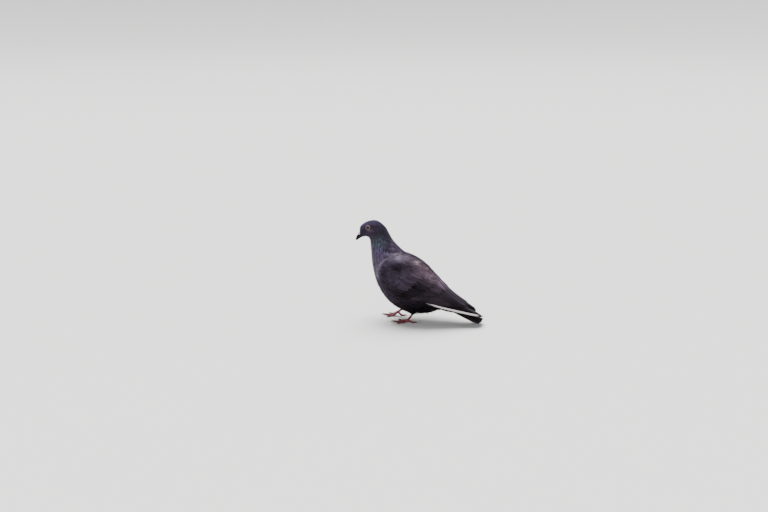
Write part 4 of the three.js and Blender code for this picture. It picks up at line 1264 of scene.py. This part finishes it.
# %% The colours of the neck
GLOSS_PLACE, GLOSS_REACH = np.array([-61, 21, 153]), [14, 16, 17]  # in mm, on both sides


def iridescent_sheen_and_pleat_shade(made, seed):
    """The neck's sides get a painted iridescent sheen, green above and violet below, feather by feather: a
    share of that colour falls off as exp(-distance^2) from the middle of the patch. Pleats add painted shade
    and light: feathers low in a pleat are darker, those high in it lighter."""
    rng = dice(seed)
    p = made["points"].reshape(made["count"], made["each"], 3)
    middle = p.mean(1)
    off = (np.abs(middle) * [-1, 1, 1] - GLOSS_PLACE) / GLOSS_REACH
    near = np.exp(-(off**2).sum(-1)) * rng.uniform(0.25, 1.0, made["count"])
    green = smooth(middle[:, 2] + rng.normal(0, 3, made["count"]), 146, 157)[:, None]
    shine = mix(linear(96, 84, 122), linear(76, 94, 102), green)
    base = mix(markings(p), markings(middle)[:, None], OWN)
    patch = np.exp(-(off**2).sum(-1) / 2)
    # painted shade and light: feathers low in a pleat darker, high in it lighter, with a random spread that
    # is wider in the glossy patch
    tone = np.clip(1 + 0.5 * made["pleat"] + rng.normal(0, 0.06 + 0.3 * patch), 0.3, 2.2)
    return mix(base, shine[:, None], 0.85 * near[:, None, None]) * tone[:, None, None]


for part, seed in ((head, 20), (neck, 21), (trunk_coat, 22)):
    part["colour"] = iridescent_sheen_and_pleat_shade(part, seed)


# %% The loose fringe, and the body's coat
def loose(points, places):
    """The belly's rear, where the feathers hang in a loose fringe."""
    return (np.abs(places[:, 1]) > 112) & ~under_wing(points)


roots = spread(body, (0.3, -180), (2.6, 180), lambda rib, around: 3.9 + 0 * rib, 3000, 14, loose)
rng, count = dice(15), len(roots)
fringe = lay(BODY, roots, rng.uniform(14, 25, count), rng.uniform(1.8, 2.9, count), (-1, 1, 10), (-2.4, 1.0),
             "narrow", (9, 5), slant=rng.normal(0, 0.16, count), curl=rng.uniform(0, 3.0, count), thick=0.16,
             ragged=0.08, seed=16)
fringe["spot"] = on_map(roots / [LAST_RIB, 360] + [0.4, 0.5])
print("feathers on head, neck, body:", head["count"], neck["count"], trunk_coat["count"])
coat("head_feathers", [head], FINE_DOWN)
coat("neck_feathers", [neck], NECK_GLOSS)
coat("body_feathers", [trunk_coat, fringe], DOWN)

# %% Feathers of the back, between the wings
TERTIALS_MEET = 0.45  # the share of the wings' top line from where the tertials cover the back
back_spacing = lambda along, across: np.interp(along, [0.13, 0.32, 0.56], [4.2, 4.8, 7.5])
roots = spread(saddle, (0.13, -1.1), (0.56, 1.1), back_spacing, 1500, 17)
roots = roots[roots[:, 0] < TERTIALS_MEET]
rng, apart = dice(18), back_spacing(*roots.T)
low = 3.2 * fade(roots[:, 0], 0.16, 0.36)
back = lay(SADDLE, roots, apart * rng.uniform(3.3, 3.9, len(roots)), apart, (1, 1, 0.2),
           (-2.4 - low, 0.3 - low), "contour", (8, 5), slant=rng.normal(0, 0.08, len(roots)),
           curl=0.3 * rng.random(len(roots)), seed=19, thick=0.2)
back["spot"] = on_map(roots / [1, 3] + [0, 0.5])
coat("back_feathers", [back], DOWN)

# %% [markdown]
# ## The folded wing
# From the wrist back come small coverts, then rows of longer ones, then the quills: primaries lowest,
# secondaries over them, tertials on top. In each row a feather's lower web lies over the upper web of the
# one below it, so each is tilted a little, like slats.

# %% Rows of wing feathers
GIVE = 0.12  # how far past its lowest place a web may still reach, as a share down the wing


def wing_row(side, count, half, rise, step, tilt, first, last, bulge=0.0, seed=1, shape="covert", size=(8, 7),
             lowest=1.2, **leaf):
    """A row from its lowest feather to its highest. Root and tip go evenly from the first feather's to the
    last one's, as places along and down the wing; heights rise by step over the row. Past the lowest place
    down the wing the webs are narrowed by a tanh."""
    rng = dice(seed)
    share = np.linspace(0, 1, count)
    root = mix(np.array(first[0]), np.array(last[0]), share[:, None])
    tip = mix(np.array(first[1]), np.array(last[1]), share[:, None])
    tip[:, 0] += bulge * 4 * share * (1 - share) + rng.uniform(-0.006, 0.006, count)
    half = mix(half[0], half[1], share) * rng.uniform(0.96, 1.04, count)
    face = WINGS[side]
    flat = lambda u, v: face(u, v, 0 * u)[0]
    heading = (tip - root)[:, :, None, None]
    length = norm(flat(*tip.T) - flat(*root.T))

    def place(s, offset, bow):
        u, v = (root[:, k, None, None] + heading[:, k] * s for k in (0, 1))
        e = 0.01
        slope_u = (flat(u + e, v) - flat(u - e, v)) / (2 * e)
        slope_v = (flat(u, v + e) - flat(u, v - e)) / (2 * e)
        ahead = unit(slope_u * heading[:, 0, ..., None] + slope_v * heading[:, 1, ..., None])
        across = unit(slope_v - ahead * (slope_v * ahead).sum(-1, keepdims=True)) * offset[..., None]
        uu, uv, vv = (slope_u**2).sum(-1), (slope_u * slope_v).sum(-1), (slope_v**2).sum(-1)
        au, av = (slope_u * across).sum(-1), (slope_v * across).sum(-1)
        scale = uu * vv - uv**2
        height = mix(rise[0], rise[1], np.sqrt(np.clip(s, 0, 1))) + step * share[:, None, None]
        height = height + tilt * offset / half[:, None, None] + bow
        u, v = u + (vv * au - uv * av) / scale, v + (uu * av - uv * au) / scale
        return face(u, np.where(v > lowest, lowest + GIVE * np.tanh((v - lowest) / GIVE), v), height)
    made = leaves(place, length, half, shape, size, seed=seed, **leaf)
    made["spot"] = on_map(np.clip(root, 0, 1))
    return made

# %% The painted highlight on the front edge
# painted highlight: the colour of light along the wing's front edge
FRONT_HIGHLIGHT_COLOUR = linear(118, 108, 127)


def painted_front_highlight(side, points):
    """A painted highlight down the wing's front edge: its colour, and a share that falls with the distance.
    """
    down = np.linspace(-0.04, 0.74, 48)
    line = wing(side)(0.012 + 0 * down, down)
    near = np.min([norm(points - at) for at in line], axis=0)
    return FRONT_HIGHLIGHT_COLOUR, 0.66 * np.exp(-((near / 2.4) ** 2)) + 0.16 * np.exp(-((near / 6.5) ** 2))


# %% Small feathers of the wing
def scattered(side, low, high, steps, tries, seeds, longer, rise, size, slant, curl, spot, keep=None, **leaf):
    """Small feathers at even places on the wing, with their spacing in mm given at steps along it."""
    spacing = lambda along, down: np.interp(along, *steps)
    roots = spread(wing(side), low, high, spacing, tries, seeds[0] + side, keep)
    rng, apart = dice(seeds[1] + side), spacing(*roots.T)
    made = lay(WINGS[side], roots, apart * longer, apart * 1.05, (1, 1, 1), rise(*roots.T), "contour", size,
               slant=rng.normal(*slant, len(roots)), curl=curl * rng.random(len(roots)), **leaf)
    # a painted highlight along the wing's front edge, mixed into these feathers' colours
    made["tint"] = painted_front_highlight(side, made["points"])
    made["spot"] = on_map(roots * 0.9 + spot)
    return made


def small_coverts(side):
    """The little coverts of the shoulder and the wing's front edge."""
    return scattered(side, (-0.055, 0.14), (0.35, 1.0), ([-0.04, 0.1, 0.3, 0.4], [2.0, 2.8, 3.9, 4.6]), 9000,
                     (21, 30), 3.7, lambda along, down: (-1.3, 0.45), (7, 5), (0, 0.1), 0.2, 0.06,
                     lambda points, places: places[:, 0] < 0.36 - 0.17 * places[:, 1],
                     seed=5, thick=0.16, ragged=0.07)


def scapulars(side):
    """The feathers of the shoulder, which fall over the wing's top and lie lower at its front."""
    def rise(along, down):
        low = 2.6 * fade(along, 0.08, 0.28) * fade(down, 0.0, 0.12)
        return -0.9 - 0.7 * low, 0.9 - low
    return scattered(side, (0.0, -0.04), (0.42, 0.2), ([0, 0.1, 0.4], [2.6, 3.3, 5.0]), 3000, (25, 35), 3.8,
                     rise, (9, 7), (0.03, 0.07), 0.25, [0.06, 0.1], seed=6, thick=0.22)

# %% The outermost primary and its white web
WHITE = linear(226, 220, 220)
EDGE_LINE = [[26, 33, 51], [44, 35.5, 47.2], [62, 35, 42.2], [80, 31.5, 37.6], [98, 26.8, 33.2],
             [116, 21.5, 29.3], [132, 16, 25.5], [149, 8.5, 21.4]]
EDGE_LENGTH, EDGE_HALF = 124.0, 3.0


def edge_primary(side, far, above=0.0):
    """A primary along the wing's lower edge up to a share of its length, or above that edge and a little
    inside: its web stands nearly upright."""
    def place(s, offset, bow):
        at = curve(EDGE_LINE, s * far)
        offset = offset - above * (1 - 0.8 * smooth(s, 0.7, 1))
        ahead = unit(curve(EDGE_LINE, s * far + 0.01) - at)
        down = unit(np.cross(ahead, [0, -1.0, 0.35]))
        out = np.cross(ahead, down)
        rise = bow - 0.3 * above + 0.05 * offset + 1.2 * smooth(s, 0.5, 0.8)
        points = at + down * offset[..., None] + out * rise[..., None]
        return points * [1, side, 1], out * [1, side, 1]
    return leaves(place, np.array([EDGE_LENGTH]), np.array([EDGE_HALF]), "edge", (34, 9), tip_round=0.03,
                  ragged=0.01, seed=40, rachis=0.3)


def white_web(made, end):
    """The outermost primary is white from under the coverts to the share where the white ends; its lower
    rim stays dark."""
    share = made["shares"]
    point = smooth(share[:, 1] - 0.1 * (1 - share[:, 0]) / 2, 0.04, 0.1)
    white = point * fade(share[:, 1], end - 0.02, end) * fade(share[:, 0], 0.35, 0.7)
    colour = mix(markings(made["points"]), WHITE, white[:, None])
    return colour.reshape(made["count"], made["each"], 3)


print("the wing's lower edge, mm:", EDGE_LINE[0], "to", EDGE_LINE[-1])

# %% Both wings
# For each wing: how far the primaries and the outermost one reach, where its white ends, and how far down
# the lowest primary's tip lies. The right tip lies a little short of the left one.
TIPS = {"left_wing": (-1, 1.0, 1.0, 0.94, 0.52), "right_wing": (1, 0.89, 0.84, 0.85, 0.7)}
COVERT_ROWS = [  # count, half widths, heights, step, tilt, then root and tip of the lowest and the highest
    (13, (6.5, 7.2), (-2.6, 0.0), 0.4, 0.5, ([0.26, 0.95], [0.43, 0.95]), ([0.4, 0.12], [0.59, 0.13])),
    (13, (6, 6.8), (-2.0, 0.4), 0.3, 0.5, ([0.18, 0.97], [0.35, 0.97]), ([0.32, 0.12], [0.51, 0.13])),
    (10, (6, 7), (-1.8, 0.7), 0.2, 0.5, ([0.12, 0.97], [0.27, 0.97]), ([0.24, 0.2], [0.4, 0.22])),
]

for name, (side, far, edge_far, white_end, low_tip) in TIPS.items():
    outermost = edge_primary(side, edge_far)
    outermost["colour"] = white_web(outermost, white_end)
    primaries = ([0.48, 0.8], [far - 0.02, low_tip]), ([0.62, 0.38], [far - 0.04, 0.06])
    secondaries = ([0.36, 0.94], [0.62, 0.88]), ([0.5, 0.36], [0.79, 0.36])
    tertials = ([0.48, 0.31], [0.78, 0.28]), ([0.46, 0.02], [0.83, 0.06])
    quills = [
        outermost,
        edge_primary(side, 0.94 * edge_far, 3.8),
        wing_row(side, 9, (4.6, 9), (-4.4, -2.8), 1.1, 0.55, *primaries, bulge=0.025, seed=41, shape="quill",
                 size=(18, 9), lowest=0.72, rachis=0.3, tip_round=0.04, ragged=0.012),
        wing_row(side, 9, (8, 9.5), (-3.9, -1.3), 0.7, 0.55, *secondaries, bulge=0.01, seed=42, shape="quill",
                 size=(16, 9), rachis=0.28, tip_round=0.05, ragged=0.012),
        wing_row(side, 5, (9.5, 10.5), (-2.8, -0.2), 0.6, 0.5, *tertials, seed=43, shape="quill",
                 size=(16, 9), rachis=0.25, tip_round=0.08, ragged=0.015),
    ]
    coat(name + "_quills", quills, QUILL, own=0.3, strips=True)
    rows = [wing_row(side, *row, bulge=0.02, seed=44 + i, thick=0.2) for i, row in enumerate(COVERT_ROWS)]
    rows.append(wing_row(side, 3, (4.5, 5), (-2.2, 0.6), 0.4, 0.4, ([0.16, 0.98], [0.36, 1.02]),
                         ([0.12, 0.94], [0.3, 0.97]), seed=50, shape="quill"))
    coat(name + "_coverts", [*rows, small_coverts(side), scapulars(side)], COVERT)

# %% [markdown]
# ## The tail
# Twelve quills lie in a closed fan: the middle pair on top, each pair outwards a little lower and shorter.
# Coverts run out over and under their roots.


# %% Feathers of the tail
def tail_row(roots, tips, half, tilt, over, seed, shape="quill", size=(16, 9), **leaf):
    """Feathers between root and tip places, each a length along the tail, a side and a height. Their outer
    edges hang by the tilt."""
    roots, tips = np.array(roots, float), np.array(tips, float)
    half = np.full(len(roots), float(half))
    r, t = (a[:, :, None, None] for a in (roots, tips))
    outward = np.where(roots[:, 1] + tips[:, 1] < 0, -1, 1)[:, None, None]

    def place(s, offset, bow):
        length, y, height = (mix(r[:, k], t[:, k], s) for k in range(3))
        height = height + over * (bow - tilt * outward * offset / half[:, None, None])
        return tail(length, y + offset, height), np.broadcast_to(TAIL_UP * over, (*s.shape, 3))
    made = leaves(place, tips[:, 0] - roots[:, 0], half, shape, size, seed=seed, **leaf)
    made["spot"] = (roots[:, :2] / 60 + [0, 0.25 if over > 0 else 0.75]) * 0.9 + 0.02
    return made

# %% The fan of quills
rng = dice(60)
PAIRS = 6
fan_roots, fan_tips = [], []
for i in range(PAIRS):
    for side in (-1, 1):
        out = (i + 0.35) / (PAIRS - 0.65)
        fan_roots.append([18, side * TAIL_SPREAD[0] * 0.75 * out, 0.6 - 0.3 * i])
        fan_tips.append([TAIL_LENGTH - 3.5 * out**2 + rng.uniform(-1, 1), side * 16 * out, -0.75 * i])
fan = tail_row(fan_roots, fan_tips, 8.5, 0.6, 1, 61, "tail", (20, 9), rachis=0.3, tip_round=0.06,
               ragged=0.006)
coat("tail_quills", [fan], QUILL, own=0.3, strips=True)


# %% Coverts of the tail
def tail_coverts(over, count, root, reach, half, lift, seed):
    """One row of coverts on a face of the tail, shorter towards its sides."""
    rng = dice(seed)
    out = np.linspace(-1, 1, count)
    height = over * (13 - 5 * np.abs(out))
    roots = join(root + 0 * out, 13 * out, height * (1 - root / 60) - over * 2.2)
    tips = join(reach - 10 * out**2 + rng.uniform(-2, 2, count), 17 * out,
                     over * lift - (3.4 if over < 0 else 0) + 0 * out)
    return tail_row(roots, tips, half, 0.5, over, seed, "covert", (10, 7), thick=0.25, camber=0.06)


rump = [(1, 9, 10, 68, 6.5, 3.4, 62), (1, 9, 6, 54, 6, 5.0, 68), (1, 9, 2, 42, 6, 6.5, 63),
        (1, 8, -4, 30, 6, 9, 64), (-1, 9, 8, 60, 6.5, 2.6, 65), (-1, 9, 2, 47, 6.5, 4.4, 66),
        (-1, 9, -4, 34, 6.5, 7.0, 67)]
coat("tail_coverts", [tail_coverts(*row) for row in rump], COVERT)

# %% Feathered thighs
thigh_spacing = lambda along, around: mix(3.0, 1.5, along)
for name, foot in FEET.items():
    roots = spread(thigh(foot), (0.0, -180), (0.93, 180), thigh_spacing, 3000, 71)
    rng, apart = dice(72), thigh_spacing(*roots.T)
    sunk = 3.4 * fade(roots[:, 0], 0.05, 0.6)
    made = lay(THIGHS[name], roots, apart * rng.uniform(3.4, 4.8, len(roots)), apart * 0.85, (1, 1, 10),
               (-1.8 - sunk, 0.5 - 0.7 * sunk), "narrow", (8, 5), slant=rng.normal(0, 0.14, len(roots)),
               curl=1.0 * rng.random(len(roots)) ** 2, seed=7, thick=0.16, ragged=0.08)
    made["spot"] = on_map(roots / [1, 360] + [0, 0.5])
    coat(name + "_thigh_feathers", [made], DOWN)

# %% [markdown]
# ## Floor, light and camera
# A wide pale floor turns up into a round backdrop far from the bird, so no horizon shows. Light comes as
# through a pale overcast: a broad soft sun from above and behind the back, and pale surroundings.

# %% Floor
FLOOR_RADIUS, TURN_UP, WALL, SEGMENTS = 6.0, 4.0, 3.0, 96  # in metres, and steps round
DARKER, PALER = 0.35, 0.64  # the paper's two greys
bend = np.linspace(0.1, 1.5708, 14)
far = FLOOR_RADIUS + TURN_UP
reach = np.r_[np.linspace(0.01, FLOOR_RADIUS, 12), FLOOR_RADIUS + TURN_UP * np.sin(bend), far]
rise = np.r_[np.zeros(12), TURN_UP * (1 - np.cos(bend)), TURN_UP + WALL]
turn = np.linspace(0, TURN, SEGMENTS, endpoint=False)
rings = join(reach[:, None] * np.cos(turn), reach[:, None] * np.sin(turn), rise[:, None] + 0 * turn)
grid = np.arange(len(rings) * SEGMENTS).reshape(-1, SEGMENTS)
nxt = np.roll(grid, -1, axis=1)
bowl = join(grid[:-1], grid[1:], nxt[1:], nxt[:-1]).reshape(-1, 4).tolist()
floor = placed("floor", mesh_of_form("floor", (rings.reshape(-1, 3), [*bowl, grid[0].tolist()]), np.asarray))
paper, tree, shader = material("floor_paper")
grain = use(tree, MOTTLE, Size=0.4, Strength=0.06)["Tone"]
feed(tree, shader, Base_Color=blend(tree, grain, [DARKER] * 3, [PALER] * 3), Roughness=0.9)
floor.data.materials.append(paper)
print("floor, m across:", 2 * far)

# %% Light
SKY, SKY_STRENGTH = (0.92, 0.95, 1.0, 1), 0.55
SUN_COLOUR, SUN_STRENGTH, SUN_WIDTH, SUN_LEAN = (1.0, 0.98, 0.96), 9.0, 50, (-20, -9, 0)  # angles in degrees
world = bpy.data.worlds.new("studio")
world.use_nodes = True
feed(world.node_tree, world.node_tree.nodes["Background"], Color=SKY, Strength=SKY_STRENGTH)
scene.world = world
sun = bpy.data.lights.new("soft_sun", "SUN")
sun.energy, sun.angle, sun.color = SUN_STRENGTH, math.radians(SUN_WIDTH), SUN_COLOUR
placed("soft_sun", sun).rotation_euler = [math.radians(a) for a in SUN_LEAN]
print("lights:", len(bpy.data.lights))

# %% Camera
WIDE, HIGH, FOCAL, SENSOR = 768, 512, 1284.0, 36.0  # picture and lens in picture dots, the sensor in mm
PITCH, AZIMUTH, DISTANCE = math.radians(14.4), math.radians(15), 2568.0
back = np.array([math.sin(AZIMUTH) * math.cos(PITCH), -math.cos(AZIMUTH) * math.cos(PITCH), math.sin(PITCH)])
right = unit(np.cross(-back, [0, 0, 1]))
up = np.cross(right, -back)
foot_place, foot_dot = np.array([0, -20.0, 0]), (408, 322.5)
eye_place = (foot_place + back * DISTANCE - right * ((foot_dot[0] - WIDE / 2) / FOCAL * DISTANCE)
             - up * ((HIGH / 2 - foot_dot[1]) / FOCAL * DISTANCE))
lens = bpy.data.cameras.new("camera")
lens.sensor_fit, lens.sensor_width, lens.lens = "HORIZONTAL", SENSOR, FOCAL / WIDE * SENSOR
camera = placed("camera", lens)
camera.location = metres(eye_place)
camera.rotation_euler = (math.pi / 2 - PITCH, 0, AZIMUTH)
scene.camera = camera
print("camera at", [round(v, 3) for v in camera.location])
